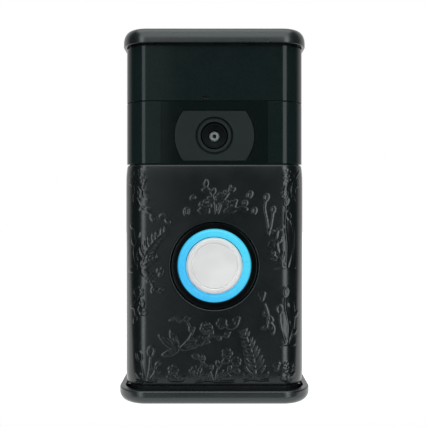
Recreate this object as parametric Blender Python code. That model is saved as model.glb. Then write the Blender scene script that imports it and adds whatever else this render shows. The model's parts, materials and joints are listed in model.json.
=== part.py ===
"""A battery video doorbell held in a wall holder.

Every constant is in millimetres and the meshes are in metres. X runs to the viewer's right,
Y runs into the wall and Z runs up. The origin is the middle of the holder's flat back face.
"""

import math

import bmesh
import bpy
from mathutils import Matrix, Vector

MM = 0.001
GAP = 0.3  # space left between two pieces that touch or nearly touch
THROUGH = 2.0  # how far a cutter runs past the face that it opens

# Overall size: the holder's cap and tray close the doorbell in from above and below.
TOP = 65.3
BOTTOM = -64.8

# Doorbell core: two housings that meet on a plane behind the middle.
CORE_HALF_WIDTH = 30.0
CORE_TOP = 63.0
CORE_BOTTOM = -62.8
CORE_BACK = -2.8
REAR_RIM = -12.6
FRONT_RIM = -13.7
CORE_FRONT = -29.0
CORE_CORNER = 6.6
WALL = 1.8

# Covers that wrap round the front and sides of the core.
COVER_BACK = -5.0
COVER_INNER_HALF = CORE_HALF_WIDTH + GAP
COVER_INNER_FRONT = CORE_FRONT - GAP
COVER_INNER_CORNER = CORE_CORNER + GAP
FACE_HALF_WIDTH = 31.6
FACE_FRONT = -31.0
FACE_CORNER = 8.4
FACE_LOW, FACE_HIGH = -58.95, 17.95
FACE_HOLE = 15.3  # radius of the hole round the button
GLOSS_HALF_WIDTH = 31.4
GLOSS_FRONT = -30.5
GLOSS_CORNER = 8.2
SURROUND_LOW, SURROUND_HIGH = 18.25, 39.8
MOTION_LOW, MOTION_HIGH = 40.1, 59.4
WINDOW_HALF_WIDTH = 18.5
PANE = 0.5

# Holder.
PLATE_THICKNESS = 2.5
PLATE_TOP = 63.2
CAP_HALF_WIDTH = 32.3
CAP_FRONT = -32.4
CAP_CORNER = 8.7
CAP_LOW = 59.75
CAP_WALL = 1.1
CAP_ROOF = 1.7
CAP_CROWN = 2.6  # radius of its upper edge
TRAY_HALF_WIDTH = 33.6
TRAY_FRONT = -34.2
TRAY_CORNER = 10.0
TRAY_RIM = -59.85
TRAY_WALL = 2.0
TRAY_FLOOR = 1.7
TRAY_FOOT = 3.0  # radius of its lower edge
WALL_SCREW = (22.0, 40.0)  # +-x and +-z of the four wall screws
CAP_SCREW_X, CAP_SCREW_Y = 14.0, -5.0
LOCK_SCREW_X, LOCK_SCREW_Y = 17.0, -8.0

# Wire entry at the lower back.
WIRE_HALF_WIDTH = 12.0
WIRE_LOW, WIRE_HIGH = -54.0, -40.0
POCKET_FLOOR = -7.4
TERMINAL_X = 8.5

# Axes of the working groups.
CAMERA_Z = 28.0
BUTTON_Z = -17.3
SPEAKER_Y = -17.2
USB_Z = 36.0
SETUP_X = 12.0
MIC_X, MIC_Z = -2.8, 41.3
PIR_X, PIR_Z = 12.5, 51.2
HOUSING_SCREW = (24.2, 56.5)

FILTER_TRAVEL = 6.0  # how far the filter slide moves between its two windows

FINISHES = {
    "holder_satin": ((0.020, 0.023, 0.026), 0.38, 0.0),
    "face_satin": ((0.012, 0.014, 0.015), 0.36, 0.0),
    "gloss_black": ((0.006, 0.008, 0.008), 0.12, 0.0),
    "smoked_window": ((0.003, 0.005, 0.005), 0.05, 0.0),
    "camera_grey": ((0.014, 0.017, 0.017), 0.45, 0.0),
    "lens_black": ((0.004, 0.005, 0.005), 0.30, 0.0),
    "lens_ring": ((0.110, 0.120, 0.115), 0.35, 0.3),
    "optical_glass": ((0.020, 0.030, 0.050), 0.02, 0.0),
    "housing_black": ((0.010, 0.011, 0.012), 0.50, 0.0),
    "bezel_black": ((0.003, 0.003, 0.004), 0.15, 0.0),
    "light_blue": ((0.060, 0.530, 0.950), 0.30, 0.0),
    "button_white": ((0.680, 0.680, 0.660), 0.32, 0.0),
    "natural_plastic": ((0.520, 0.500, 0.440), 0.50, 0.0),
    "board_green": ((0.010, 0.090, 0.035), 0.40, 0.0),
    "tinned_metal": ((0.560, 0.570, 0.580), 0.30, 1.0),
    "screw_steel": ((0.110, 0.110, 0.115), 0.35, 1.0),
    "brass": ((0.560, 0.380, 0.130), 0.30, 1.0),
    "battery_wrap": ((0.030, 0.060, 0.180), 0.45, 0.0),
    "seal_rubber": ((0.020, 0.020, 0.020), 0.80, 0.0),
    "setup_orange": ((0.850, 0.220, 0.020), 0.40, 0.0),
    "filter_glass": ((0.450, 0.080, 0.120), 0.05, 0.0),
}


# ---------------------------------------------------------------- modelling helpers


def clear_scene():
    for obj in list(bpy.data.objects):
        bpy.data.objects.remove(obj, do_unlink=True)


def finish(name):
    """The named finish as a material, made the first time it is asked for."""
    found = bpy.data.materials.get(name)
    if found:
        return found
    colour, roughness, metallic = FINISHES[name]
    made = bpy.data.materials.new(name)
    made.use_nodes = True
    shader = made.node_tree.nodes["Principled BSDF"]
    shader.inputs["Base Color"].default_value = (*colour, 1.0)
    shader.inputs["Roughness"].default_value = roughness
    shader.inputs["Metallic"].default_value = metallic
    return made


def group(name, x=0.0, y=0.0, z=0.0):
    """An empty that a group of pieces hangs on."""
    empty = bpy.data.objects.new(name, None)
    empty.location = (x * MM, y * MM, z * MM)
    empty.empty_display_size = 5 * MM
    bpy.context.scene.collection.objects.link(empty)
    return empty


def add(name, shape, look, parent=None, at=(0.0, 0.0, 0.0)):
    """Turns a bmesh, drawn in millimetres about its own origin, into an object."""
    bmesh.ops.scale(shape, vec=(MM, MM, MM), verts=shape.verts)
    mesh = bpy.data.meshes.new(name)
    shape.to_mesh(mesh)
    shape.free()
    mesh.materials.append(finish(look))
    mesh.shade_smooth()
    mesh.set_sharp_from_angle(angle=math.radians(32))
    obj = bpy.data.objects.new(name, mesh)
    obj.parent = parent
    obj.location = [value * MM for value in at]
    bpy.context.scene.collection.objects.link(obj)
    return obj


def helper(obj, name, shape, operation):
    """A Boolean on obj with a shape, drawn about obj's origin, that isn't a piece by itself."""
    tool = add(f"{obj.name}_{name}", shape, "housing_black", obj.parent)
    tool.location = obj.location
    tool.hide_render = True
    tool.display_type = "WIRE"
    boolean = obj.modifiers.new(name, "BOOLEAN")
    boolean.operation = operation
    boolean.solver = "EXACT"
    boolean.object = tool


def cut(obj, name, *shapes):
    helper(obj, name, together(*shapes), "DIFFERENCE")


def unite(obj, name, *shapes):
    helper(obj, name, together(*shapes), "UNION")


def together(*shapes):
    """Several separate closed shapes in one bmesh."""
    whole = bmesh.new()
    for shape in shapes:
        part = bpy.data.meshes.new("part")
        shape.to_mesh(part)
        shape.free()
        whole.from_mesh(part)
        bpy.data.meshes.remove(part)
    return whole


def moved(shape, x=0.0, y=0.0, z=0.0):
    bmesh.ops.translate(shape, vec=(x, y, z), verts=shape.verts)
    return shape


def arc(centre_x, centre_y, radius, start, end, steps):
    """Points along an arc, in degrees, both ends included."""
    angles = [math.radians(start + (end - start) * i / steps) for i in range(steps + 1)]
    return [(centre_x + radius * math.cos(a), centre_y + radius * math.sin(a)) for a in angles]


def rounded(x0, x1, y0, y1, near=0.0, far=0.0, steps=6):
    """A rectangle whose corners at y0 have the radius near, and those at y1 the radius far."""
    points = []
    corners = (
        (x0, y0, near, 180, 1, 1),
        (x1, y0, near, 270, -1, 1),
        (x1, y1, far, 0, -1, -1),
        (x0, y1, far, 90, 1, -1),
    )
    for x, y, radius, start, side_x, side_y in corners:
        if radius:
            points += arc(x + side_x * radius, y + side_y * radius, radius, start, start + 90, steps)
        else:
            points.append((x, y))
    return points


def circle(radius, steps=32):
    return arc(0, 0, radius, 0, 360, steps)[:-1]


def truncated_disc(radius, half_height, steps=10):
    """A disc with its top and bottom cut off flat."""
    edge = math.degrees(math.asin(half_height / radius))
    right = arc(0, 0, radius, -edge, edge, steps)
    return right + [(-x, -y) for x, y in right]


def prism(outline, low, high, axis="Z"):
    """The outline extruded along an axis. It is drawn in X and Y for Z, and in X and Z for Y."""
    shape = bmesh.new()
    if axis == "Z":
        points = [(x, y, low) for x, y in outline]
        along = (0, 0, high - low)
    else:
        points = [(x, low, z) for x, z in outline]
        along = (0, high - low, 0)
    face = shape.faces.new([shape.verts.new(p) for p in points])
    swept = bmesh.ops.extrude_face_region(shape, geom=[face])
    lifted = [v for v in swept["geom"] if isinstance(v, bmesh.types.BMVert)]
    bmesh.ops.translate(shape, vec=along, verts=lifted)
    bmesh.ops.recalc_face_normals(shape, faces=shape.faces)
    return shape


def box(x0, x1, y0, y1, z0, z1):
    return prism(rounded(x0, x1, y0, y1), z0, z1)


def cylinder(radius, low, high, x=0.0, other=0.0, axis="Y", steps=24):
    """A cylinder along Y at (x, z), or along Z at (x, y)."""
    shape = prism(circle(radius, steps), low, high, axis)
    return moved(shape, x, 0, other) if axis == "Y" else moved(shape, x, other, 0)


def turned(profile, steps=32, axis="Y"):
    """A closed profile of (radius, height) points, spun about Y or Z."""
    shape = bmesh.new()
    points = [(r, h, 0) if axis == "Y" else (r, 0, h) for r, h in profile]
    corners = [shape.verts.new(p) for p in points]
    ends = zip(corners, corners[1:] + corners[:1])
    chain = [shape.edges.new(pair) for pair in ends if not on_axis(pair)]
    pivot = (0, 1, 0) if axis == "Y" else (0, 0, 1)
    geometry = corners + chain
    bmesh.ops.spin(shape, geom=geometry, cent=(0, 0, 0), axis=pivot, angle=math.tau, steps=steps)
    bmesh.ops.remove_doubles(shape, verts=shape.verts, dist=0.001)
    loose = [v for v in shape.verts if not v.link_faces]
    bmesh.ops.delete(shape, geom=loose, context="VERTS")
    bmesh.ops.recalc_face_normals(shape, faces=shape.faces)
    return shape


def on_axis(pair):
    return all(abs(v.co.x) < 1e-9 for v in pair)


def round_edge(shape, chosen, width, segments=2):
    """Bevels the sharp edges that chosen(first, second) picks by their end points."""
    edges = [
        e
        for e in shape.edges
        if chosen(e.verts[0].co, e.verts[1].co) and e.calc_face_angle(0) > math.radians(40)
    ]
    bmesh.ops.bevel(
        shape, geom=edges, offset=width, segments=segments, profile=0.5, affect="EDGES", clamp_overlap=True
    )
    return shape


def at_level(axis, level):
    """Picks edges that lie in the plane where the axis has this value."""
    return lambda a, b: abs(a[axis] - level) < 1e-5 and abs(b[axis] - level) < 1e-5


def off_the_wall(level):
    """Picks edges at this height, except those that lie against the wall."""
    at_height = at_level(2, level)
    return lambda a, b: at_height(a, b) and not at_level(1, 0)(a, b)


def slots(count, pitch, width, y0, y1, z0, z1):
    """A row of slots across X, each running along Y."""
    first = -pitch * (count - 1) / 2
    places = [first + pitch * i for i in range(count)]
    return [box(x - width / 2, x + width / 2, y0, y1, z0, z1) for x in places]


def mirrored(place):
    """The same place on the left and on the right, with the names of the sides."""
    return (("left", -place), ("right", place))


# ---------------------------------------------------------------- holder


def holder_frame(parent):
    """The back plate and the tray at its foot, one moulding."""
    tray = prism(
        rounded(-TRAY_HALF_WIDTH, TRAY_HALF_WIDTH, TRAY_FRONT, 0, TRAY_CORNER, 0, 8), BOTTOM, TRAY_RIM
    )
    round_edge(tray, off_the_wall(BOTTOM), TRAY_FOOT, 4)
    round_edge(tray, off_the_wall(TRAY_RIM), 0.5, 2)
    frame = add("holder_frame", tray, "holder_satin", parent)
    inner_half = TRAY_HALF_WIDTH - TRAY_WALL
    inner = rounded(
        -inner_half, inner_half, TRAY_FRONT + TRAY_WALL, -PLATE_THICKNESS, TRAY_CORNER - TRAY_WALL, 1.0, 8
    )
    cut(frame, "tray_well", prism(inner, BOTTOM + TRAY_FLOOR, TRAY_RIM + THROUGH))
    plate = prism(
        rounded(-CORE_HALF_WIDTH, CORE_HALF_WIDTH, BOTTOM + 1.0, PLATE_TOP, 0, 3.0),
        -PLATE_THICKNESS,
        0,
        "Y",
    )
    bosses = [
        box(x - 3.5, x + 3.5, -8.5, -1.0, 53.5, PLATE_TOP - 0.2) for _, x in mirrored(CAP_SCREW_X)
    ]
    unite(frame, "plate", plate)
    unite(frame, "bosses", *bosses)
    rib_foot, rib_top = BOTTOM + TRAY_FLOOR - 0.4, TRAY_RIM - 1.0
    rib_start = CORE_HALF_WIDTH + GAP
    side_ribs = [
        box(min(s * rib_start, s * (inner_half + 1)), max(s * rib_start, s * (inner_half + 1)), y - 1, y + 1,
            rib_foot, rib_top)
        for s in (-1, 1)
        for y in (-9.0, -20.0)
    ]
    front_ribs = [
        box(x - 1, x + 1, TRAY_FRONT + 1.0, CORE_FRONT - GAP, rib_foot, rib_top) for x in (-16.0, 16.0)
    ]
    unite(frame, "ribs", *side_ribs, *front_ribs)
    cut(
        frame,
        "wire_opening",
        prism(
            rounded(-WIRE_HALF_WIDTH, WIRE_HALF_WIDTH, WIRE_LOW, WIRE_HIGH, 2.0, 2.0, 4),
            -PLATE_THICKNESS - 1.0,
            THROUGH,
            "Y",
        ),
    )
    countersink = [(0, -PLATE_THICKNESS - 1), (4.9, -PLATE_THICKNESS - 1), (2.2, -0.8), (2.2, 1), (0, 1)]
    wall_holes = [
        moved(turned(countersink, 16), sx * WALL_SCREW[0], 0, sz * WALL_SCREW[1])
        for sx in (-1, 1)
        for sz in (-1, 1)
    ]
    cut(frame, "wall_screw_holes", *wall_holes)
    pilots = [
        cylinder(1.4, 55.0, PLATE_TOP + 1, x, CAP_SCREW_Y, "Z", 16) for _, x in mirrored(CAP_SCREW_X)
    ]
    sink = [(0, BOTTOM - 1), (3.6, BOTTOM - 1), (1.5, BOTTOM + 1.1), (1.5, BOTTOM + 3), (0, BOTTOM + 3)]
    locks = [
        moved(turned(sink, 16, "Z"), x, LOCK_SCREW_Y, 0) for _, x in mirrored(LOCK_SCREW_X)
    ]
    cut(frame, "screw_holes", *pilots, *locks)
    sound = slots(5, 3.0, 1.3, SPEAKER_Y - 4, SPEAKER_Y + 4, BOTTOM - THROUGH, BOTTOM + THROUGH)
    cut(frame, "sound_slots", *sound)


def top_cap(parent):
    """The cap that closes the holder from above, with a skirt on the front and sides."""
    outer = prism(rounded(-CAP_HALF_WIDTH, CAP_HALF_WIDTH, CAP_FRONT, 0, CAP_CORNER, 0, 8), CAP_LOW, TOP)
    round_edge(outer, off_the_wall(TOP), CAP_CROWN, 4)
    round_edge(outer, off_the_wall(CAP_LOW), 0.3, 1)
    cap = add("top_cap", outer, "holder_satin", parent)
    half = CAP_HALF_WIDTH - CAP_WALL
    inner = rounded(-half, half, CAP_FRONT + CAP_WALL, THROUGH, CAP_CORNER - CAP_WALL, 0, 8)
    cut(cap, "well", prism(inner, CAP_LOW - THROUGH, TOP - CAP_ROOF))
    sink = [(0, TOP + 1), (3.5, TOP + 1), (1.4, TOP - 1.1), (1.4, TOP - 3), (0, TOP - 3)]
    holes = [moved(turned(sink, 16, "Z"), x, CAP_SCREW_Y, 0) for _, x in mirrored(CAP_SCREW_X)]
    cut(cap, "screw_holes", *holes)


def upright_screw(name, parent, x, y, head_z, tip_z, head_radius, shank_radius):
    """A countersunk screw along Z with a cross slot in its head."""
    way = 1 if head_z > tip_z else -1
    neck_z = head_z - way * 1.1
    profile = [(0, head_z), (head_radius, head_z), (shank_radius, neck_z), (shank_radius, tip_z + way * 0.6),
               (shank_radius * 0.4, tip_z), (0, tip_z)]
    screw = add(name, turned(profile, 14, "Z"), "screw_steel", parent, (x, y, 0))
    low, high = sorted((head_z - way * 0.6, head_z + way * 0.4))
    reach = head_radius * 0.62
    cut(screw, "slot_a", box(-reach, reach, -0.28, 0.28, low, high))
    cut(screw, "slot_b", box(-0.28, 0.28, -reach, reach, low, high))


# ---------------------------------------------------------------- housings and covers


def rear_housing(parent):
    """The back half of the core: a shallow tub with the wire pocket and the screw columns."""
    outline = rounded(-CORE_HALF_WIDTH, CORE_HALF_WIDTH, CORE_BOTTOM, CORE_TOP, 3.0, 3.0, 4)
    outer = prism(outline, REAR_RIM, CORE_BACK, "Y")
    round_edge(outer, at_level(1, CORE_BACK), 1.2, 2)
    tub = add("rear_housing", outer, "housing_black", parent)
    half = CORE_HALF_WIDTH - WALL
    hollow = rounded(-half, half, CORE_BOTTOM + WALL, CORE_TOP - WALL, 1.5, 1.5, 3)
    cut(tub, "hollow", prism(hollow, REAR_RIM - THROUGH, CORE_BACK - WALL, "Y"))
    inside = CORE_BACK - WALL + 0.6
    pocket_half = WIRE_HALF_WIDTH + 1.5
    pocket_wall = box(
        -pocket_half, pocket_half, POCKET_FLOOR - 1.6, inside, WIRE_LOW - 1.5, WIRE_HIGH + 1.5
    )
    notch_walls = [
        box(x - 5.4, x + 5.4, -10.4, inside, 51.6, CORE_TOP - 0.8) for _, x in mirrored(CAP_SCREW_X)
    ]
    lock_posts = [
        box(x - 2.9, x + 2.9, -11.2, inside, CORE_BOTTOM + 0.8, -53.0) for _, x in mirrored(LOCK_SCREW_X)
    ]
    unite(tub, "inner_walls", pocket_wall, *notch_walls, *lock_posts)
    screw_x, screw_z = HOUSING_SCREW
    places = [(sx * screw_x, sz * screw_z) for sx in (-1, 1) for sz in (-1, 1)]
    unite(tub, "columns", *[cylinder(2.9, REAR_RIM, inside, x, z, steps=16) for x, z in places])
    cut(tub, "screw_wells", *[cylinder(2.2, -9.2, THROUGH, x, z, steps=12) for x, z in places])
    cut(tub, "screw_bores", *[cylinder(1.25, REAR_RIM - 1, -8.0, x, z, steps=12) for x, z in places])
    cut(
        tub,
        "wire_pocket",
        prism(
            rounded(-WIRE_HALF_WIDTH, WIRE_HALF_WIDTH, WIRE_LOW, WIRE_HIGH, 2.0, 2.0, 4),
            POCKET_FLOOR,
            THROUGH,
            "Y",
        ),
    )
    notches = [box(x - 3.9, x + 3.9, -8.9, THROUGH, 53.1, CORE_TOP + 1) for _, x in mirrored(CAP_SCREW_X)]
    cut(tub, "boss_notches", *notches)
    lock_bores = [
        cylinder(1.5, CORE_BOTTOM - 1, -54.2, x, LOCK_SCREW_Y, "Z", 16) for _, x in mirrored(LOCK_SCREW_X)
    ]
    behind = CORE_BACK - WALL - 1
    usb = prism(rounded(-4.2, 4.2, USB_Z - 1.8, USB_Z + 1.8, 1.0, 1.0, 3), behind, THROUGH, "Y")
    setup = cylinder(2.8, behind, THROUGH, SETUP_X, USB_Z)
    cut(tub, "back_openings", *lock_bores, usb, setup)


def front_housing(parent):
    """The front half of the core, with openings for the camera, motion sensors, lights and button."""
    outline = rounded(-CORE_HALF_WIDTH, CORE_HALF_WIDTH, CORE_FRONT, FRONT_RIM, CORE_CORNER, 0, 6)
    shell = add("front_housing", prism(outline, CORE_BOTTOM, CORE_TOP), "housing_black", parent)
    half = CORE_HALF_WIDTH - WALL
    hollow = rounded(-half, half, CORE_FRONT + WALL, FRONT_RIM + THROUGH, CORE_CORNER - WALL, 0, 6)
    cut(shell, "hollow", prism(hollow, CORE_BOTTOM + WALL, CORE_TOP - WALL))
    screw_x, screw_z = HOUSING_SCREW
    places = [(sx * screw_x, sz * screw_z) for sx in (-1, 1) for sz in (-1, 1)]
    inside = CORE_FRONT + WALL - 0.6
    unite(shell, "posts", *[cylinder(2.6, inside, FRONT_RIM, x, z, steps=12) for x, z in places])
    cut(shell, "pilots", *[cylinder(1.25, -20.5, FRONT_RIM + 1, x, z, steps=12) for x, z in places])
    low, high = CORE_FRONT - THROUGH, CORE_FRONT + WALL + 0.8
    camera = moved(prism(truncated_disc(14.35, 9.2), low, high, "Y"), 0, 0, CAMERA_Z)
    button = cylinder(FACE_HOLE, low, high, 0, BUTTON_Z, steps=32)
    motion = prism(rounded(-21, 21, PIR_Z - 7.7, PIR_Z + 7.3, 2.0, 2.0, 3), low, high, "Y")
    microphone = cylinder(0.8, low, high, MIC_X, MIC_Z, steps=12)
    leds = [cylinder(1.9, low, high, x, z, steps=16) for _, x, z in ir_led_places()]
    above, below = CORE_BOTTOM + WALL + 1, CORE_BOTTOM - THROUGH
    sound = slots(5, 3.0, 1.3, SPEAKER_Y - 4, -14.4, below, above)
    cut(shell, "openings", camera, button, motion, microphone, *leds)
    cut(shell, "sound_slots", *sound)


def housing_seal(parent):
    """The flat gasket between the two housings."""
    outer, inner = [
        rounded(inset - CORE_HALF_WIDTH, CORE_HALF_WIDTH - inset, CORE_BOTTOM + inset, CORE_TOP - inset,
                corner, corner, 4)
        for inset, corner in ((0.2, 2.8), (1.5, 1.5))
    ]
    low, high = FRONT_RIM + GAP, REAR_RIM - GAP
    seal = add("housing_seal", prism(outer, low, high, "Y"), "seal_rubber", parent)
    cut(seal, "middle", prism(inner, low - 1, high + 1, "Y"))


def housing_screws(parent):
    """Four screws that go in from the back and hold the two housings together."""
    profile = [(0, -7.7), (1.9, -7.7), (1.9, -9.0), (0.95, -9.0), (0.95, -19.4), (0.4, -20.0), (0, -20.0)]
    screw_x, screw_z = HOUSING_SCREW
    for height, sz in (("upper", 1), ("lower", -1)):
        for side, x in mirrored(screw_x):
            name = f"housing_screw_{height}_{side}"
            screw = add(name, turned(profile, 12), "screw_steel", parent, (x, 0, sz * screw_z))
            cut(screw, "slot_a", box(-1.2, 1.2, -8.2, -7.0, -0.25, 0.25))
            cut(screw, "slot_b", box(-0.25, 0.25, -8.2, -7.0, -1.2, 1.2))


def cover(name, look, parent, half_width, front, corner, low, high, edge):
    """A skin that wraps round the front and both sides of the core."""
    outer = prism(rounded(-half_width, half_width, front, COVER_BACK, corner, 0, 8), low, high)
    round_edge(outer, at_level(2, low), edge, 1)
    round_edge(outer, at_level(2, high), edge, 1)
    skin = add(name, outer, look, parent)
    behind = COVER_BACK + THROUGH
    inner = rounded(
        -COVER_INNER_HALF, COVER_INNER_HALF, COVER_INNER_FRONT, behind, COVER_INNER_CORNER, 0, 8
    )
    cut(skin, "inside", prism(inner, low - THROUGH, high + THROUGH))
    return skin


def faceplate(parent):
    """The removable front plate with the button's hole. Its raised sprigs are a surface finish."""
    plate = cover(
        "faceplate", "face_satin", parent, FACE_HALF_WIDTH, FACE_FRONT, FACE_CORNER, FACE_LOW, FACE_HIGH, 0.35
    )
    rim = [(0, FACE_FRONT - 1), (FACE_HOLE + 1.3, FACE_FRONT - 1), (FACE_HOLE, FACE_FRONT + 0.3),
           (FACE_HOLE, COVER_INNER_FRONT + 1), (0, COVER_INNER_FRONT + 1)]
    cut(plate, "button_hole", moved(turned(rim, 40), 0, 0, BUTTON_Z))


def gloss_covers(parent):
    """The black covers above the faceplate: motion lens, camera surround and camera window."""
    shape = (GLOSS_HALF_WIDTH, GLOSS_FRONT, GLOSS_CORNER)
    motion = cover("motion_lens", "gloss_black", parent, *shape, MOTION_LOW, MOTION_HIGH, 0.12)
    slot = rounded(MIC_X - 1.4, MIC_X + 1.4, MIC_Z - 0.3, MIC_Z + 0.3, 0.29, 0.29, 3)
    cut(motion, "microphone_slot", prism(slot, GLOSS_FRONT - 1, COVER_INNER_FRONT + 1, "Y"))
    surround = cover("camera_surround", "gloss_black", parent, *shape, SURROUND_LOW, SURROUND_HIGH, 0.12)
    seat_half = WINDOW_HALF_WIDTH + GAP
    seat_floor = GLOSS_FRONT + PANE + GAP
    seat = box(-seat_half, seat_half, GLOSS_FRONT - 1, seat_floor, SURROUND_LOW - 1, SURROUND_HIGH + 1)
    cut(surround, "pane_seat", seat)
    outline = rounded(-WINDOW_HALF_WIDTH, WINDOW_HALF_WIDTH, SURROUND_LOW, SURROUND_HIGH)
    pane = prism(outline, GLOSS_FRONT, GLOSS_FRONT + PANE, "Y")
    window = add("camera_window", pane, "smoked_window", parent)
    for glazed in (surround, window):
        opening = prism(truncated_disc(14.1, 8.95), GLOSS_FRONT - 1, COVER_INNER_FRONT + 1, "Y")
        cut(glazed, "camera_hole", moved(opening, 0, 0, CAMERA_Z))


# ---------------------------------------------------------------- camera


def ir_led_places():
    """Name, x and z of the two night lights, which stand above the camera's corners."""
    return [(side, x, CAMERA_Z + 7.6) for side, x in mirrored(15.5)]


def camera_front(parent):
    """The plate round the lens, seen through the window's hole."""
    disc = prism(truncated_disc(13.85, 8.7), -30.2, -28.4, "Y")
    round_edge(disc, at_level(1, -30.2), 0.2, 1)
    plate = add("camera_plate", disc, "camera_grey", parent)
    cut(plate, "lens_hole", turned([(0, -31), (5.0, -31), (4.75, -29.8), (4.75, -27), (0, -27)], 32))
    cut(plate, "ring_groove", turned([(5.8, -29.5), (5.8, -31), (6.6, -31), (6.6, -29.5)], 32))


def lens(parent):
    """Barrel, retaining ring and front element."""
    barrel = [(2.1, -27.9), (3.9, -29.4), (4.4, -29.3), (4.4, -26.4), (6.0, -26.1), (6.0, -17.1),
              (4.6, -17.1), (2.1, -19.5)]
    add("lens_barrel", turned(barrel, 24), "lens_black", parent)
    retainer = [(0.8, -27.7), (1.8, -27.7), (1.8, -27.2), (0.8, -27.2)]
    add("lens_retainer", turned(retainer, 24), "lens_ring", parent)
    element = [(0, -26.9), (0.9, -26.75), (1.8, -26.3), (1.8, -25.6), (0, -25.6)]
    add("front_lens", turned(element, 24), "optical_glass", parent)


def lens_holder(parent):
    """The square mount that holds the barrel over the sensor, with a slot for the filter slide."""
    block = prism(rounded(-7.5, 7.5, -7.5, 7.5, 1.0, 1.0, 2), -20.5, -12.5, "Y")
    holder = add("lens_holder", block, "housing_black", parent)
    cut(holder, "barrel_bore", cylinder(6.3, -21.5, -16.8, steps=32))
    cut(holder, "filter_slot", box(-8.5, 8.5, -16.4, -14.8, -4.2, 4.2))
    cut(holder, "light_way", cylinder(3.0, -17.5, -14.0))
    cut(holder, "sensor_well", box(-4.5, 4.5, -14.4, -11.5, -4.0, 4.0))


def filter_slide(parent):
    """The carrier that moves the infrared filter off the sensor at night, and its actuator."""
    frame = box(-3.9, 9.5, -16.05, -15.15, -3.8, 3.8)
    slide = add("filter_slide", frame, "lens_black", parent)
    windows = [cylinder(2.8, -17, -14, x, 0) for x in (0, FILTER_TRAVEL)]
    cut(slide, "windows", *windows)
    add("infrared_filter", cylinder(2.5, -15.8, -15.4), "filter_glass", parent)
    actuator = box(10.0, 15.0, -17.5, -13.5, -3.0, 3.0)
    round_edge(actuator, at_level(1, -17.5), 0.5, 1)
    add("filter_actuator", actuator, "tinned_metal", parent)


def camera_boards(parent):
    """Image sensor board, and the board that carries the night lights."""
    add("image_sensor", box(-3.5, 3.5, -13.2, -12.5, -3.0, 3.0), "bezel_black", parent)
    add("camera_board", box(-13.0, 13.0, -12.2, -11.2, -9.0, 9.0), "board_green", parent)
    board = add("ir_board", box(-18.0, 18.0, -23.2, -22.2, -9.6, 10.0), "board_green", parent)
    cut(board, "barrel_hole", cylinder(7.0, -24, -21, steps=32))
    dome = [(0, -28.9), (0.8, -28.7), (1.5, -27.8), (1.5, -24.3), (1.8, -24.3), (1.8, -23.5), (0, -23.5)]
    for side, x, z in ir_led_places():
        add(f"ir_led_{side}", turned(dome, 16), "bezel_black", parent, (x, 0, z - CAMERA_Z))


# ---------------------------------------------------------------- motion sensors and sound


def motion_sensors(parent):
    """Two heat sensors on their own board behind the motion lens."""
    add("motion_board", box(-20.5, 20.5, -17.5, -16.5, PIR_Z - 7.7, PIR_Z + 8.0), "board_green", parent)
    can = [(0, -21.6), (3.7, -21.6), (4.1, -21.2), (4.1, -18.4), (4.6, -18.4), (4.6, -17.8), (0, -17.8)]
    for side, x in mirrored(PIR_X):
        sensor = add(f"motion_sensor_{side}", turned(can, 16), "tinned_metal", parent, (x, 0, PIR_Z))
        cut(sensor, "window", box(-1.9, 1.9, -23, -21.3, -1.5, 1.5))


def microphone(parent):
    capsule = [(0, -26.9), (2.0, -26.9), (2.0, -24.9), (0, -24.9)]
    body = add("microphone", turned(capsule, 20), "tinned_metal", parent, (MIC_X, 0, MIC_Z))
    cut(body, "port", cylinder(0.5, -28, -26.2, steps=12))


def speaker(parent):
    """A small round loudspeaker that faces down through the slots in the floor."""
    frame = [(8.4, -60.5), (8.4, -57.0), (2.9, -57.0), (2.9, -57.6), (7.6, -57.6), (7.6, -60.5)]
    add("speaker_frame", turned(frame, 24, "Z"), "housing_black", parent)
    magnet = [(0, -56.7), (4.2, -56.7), (4.2, -54.9), (3.9, -54.6), (0, -54.6)]
    add("speaker_magnet", turned(magnet, 24, "Z"), "tinned_metal", parent)
    cone = [(0, -59.6), (2.4, -59.3), (5.4, -59.9), (7.2, -59.9), (7.2, -59.5), (5.4, -59.5), (2.6, -58.9),
            (2.6, -58.1), (2.2, -58.1), (2.2, -59.0), (0, -59.2)]
    add("speaker_cone", turned(cone, 24, "Z"), "seal_rubber", parent)


# ---------------------------------------------------------------- button


def button_surround(parent):
    """The black ring in the faceplate's hole and the light ring inside it."""
    bezel = [(12.85, -26.1), (17.0, -26.1), (17.0, -26.9), (15.0, -26.9), (15.0, -30.0), (14.8, -30.2),
             (13.05, -30.2), (12.85, -30.0)]
    add("button_bezel", turned(bezel, 32), "bezel_black", parent)
    ring = [(10.15, -25.0), (16.0, -25.0), (16.0, -25.8), (12.55, -25.8), (12.55, -31.0), (12.1, -31.35),
            (11.35, -31.45), (10.6, -31.35), (10.15, -31.0)]
    add("light_ring", turned(ring, 32), "light_blue", parent)


def ring_lights(parent):
    """The board behind the light ring and the lights on it."""
    board = [(6.2, -23.6), (16.5, -23.6), (16.5, -22.6), (6.2, -22.6)]
    add("ring_board", turned(board, 24), "board_green", parent)
    for number, angle in enumerate((45, 135, 225, 315), 1):
        x, z = 11.5 * math.cos(math.radians(angle)), 11.5 * math.sin(math.radians(angle))
        chip = box(-0.9, 0.9, -24.7, -23.9, -0.9, 0.9)
        add(f"ring_light_{number}", chip, "natural_plastic", parent, (x, 0, z))


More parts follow.
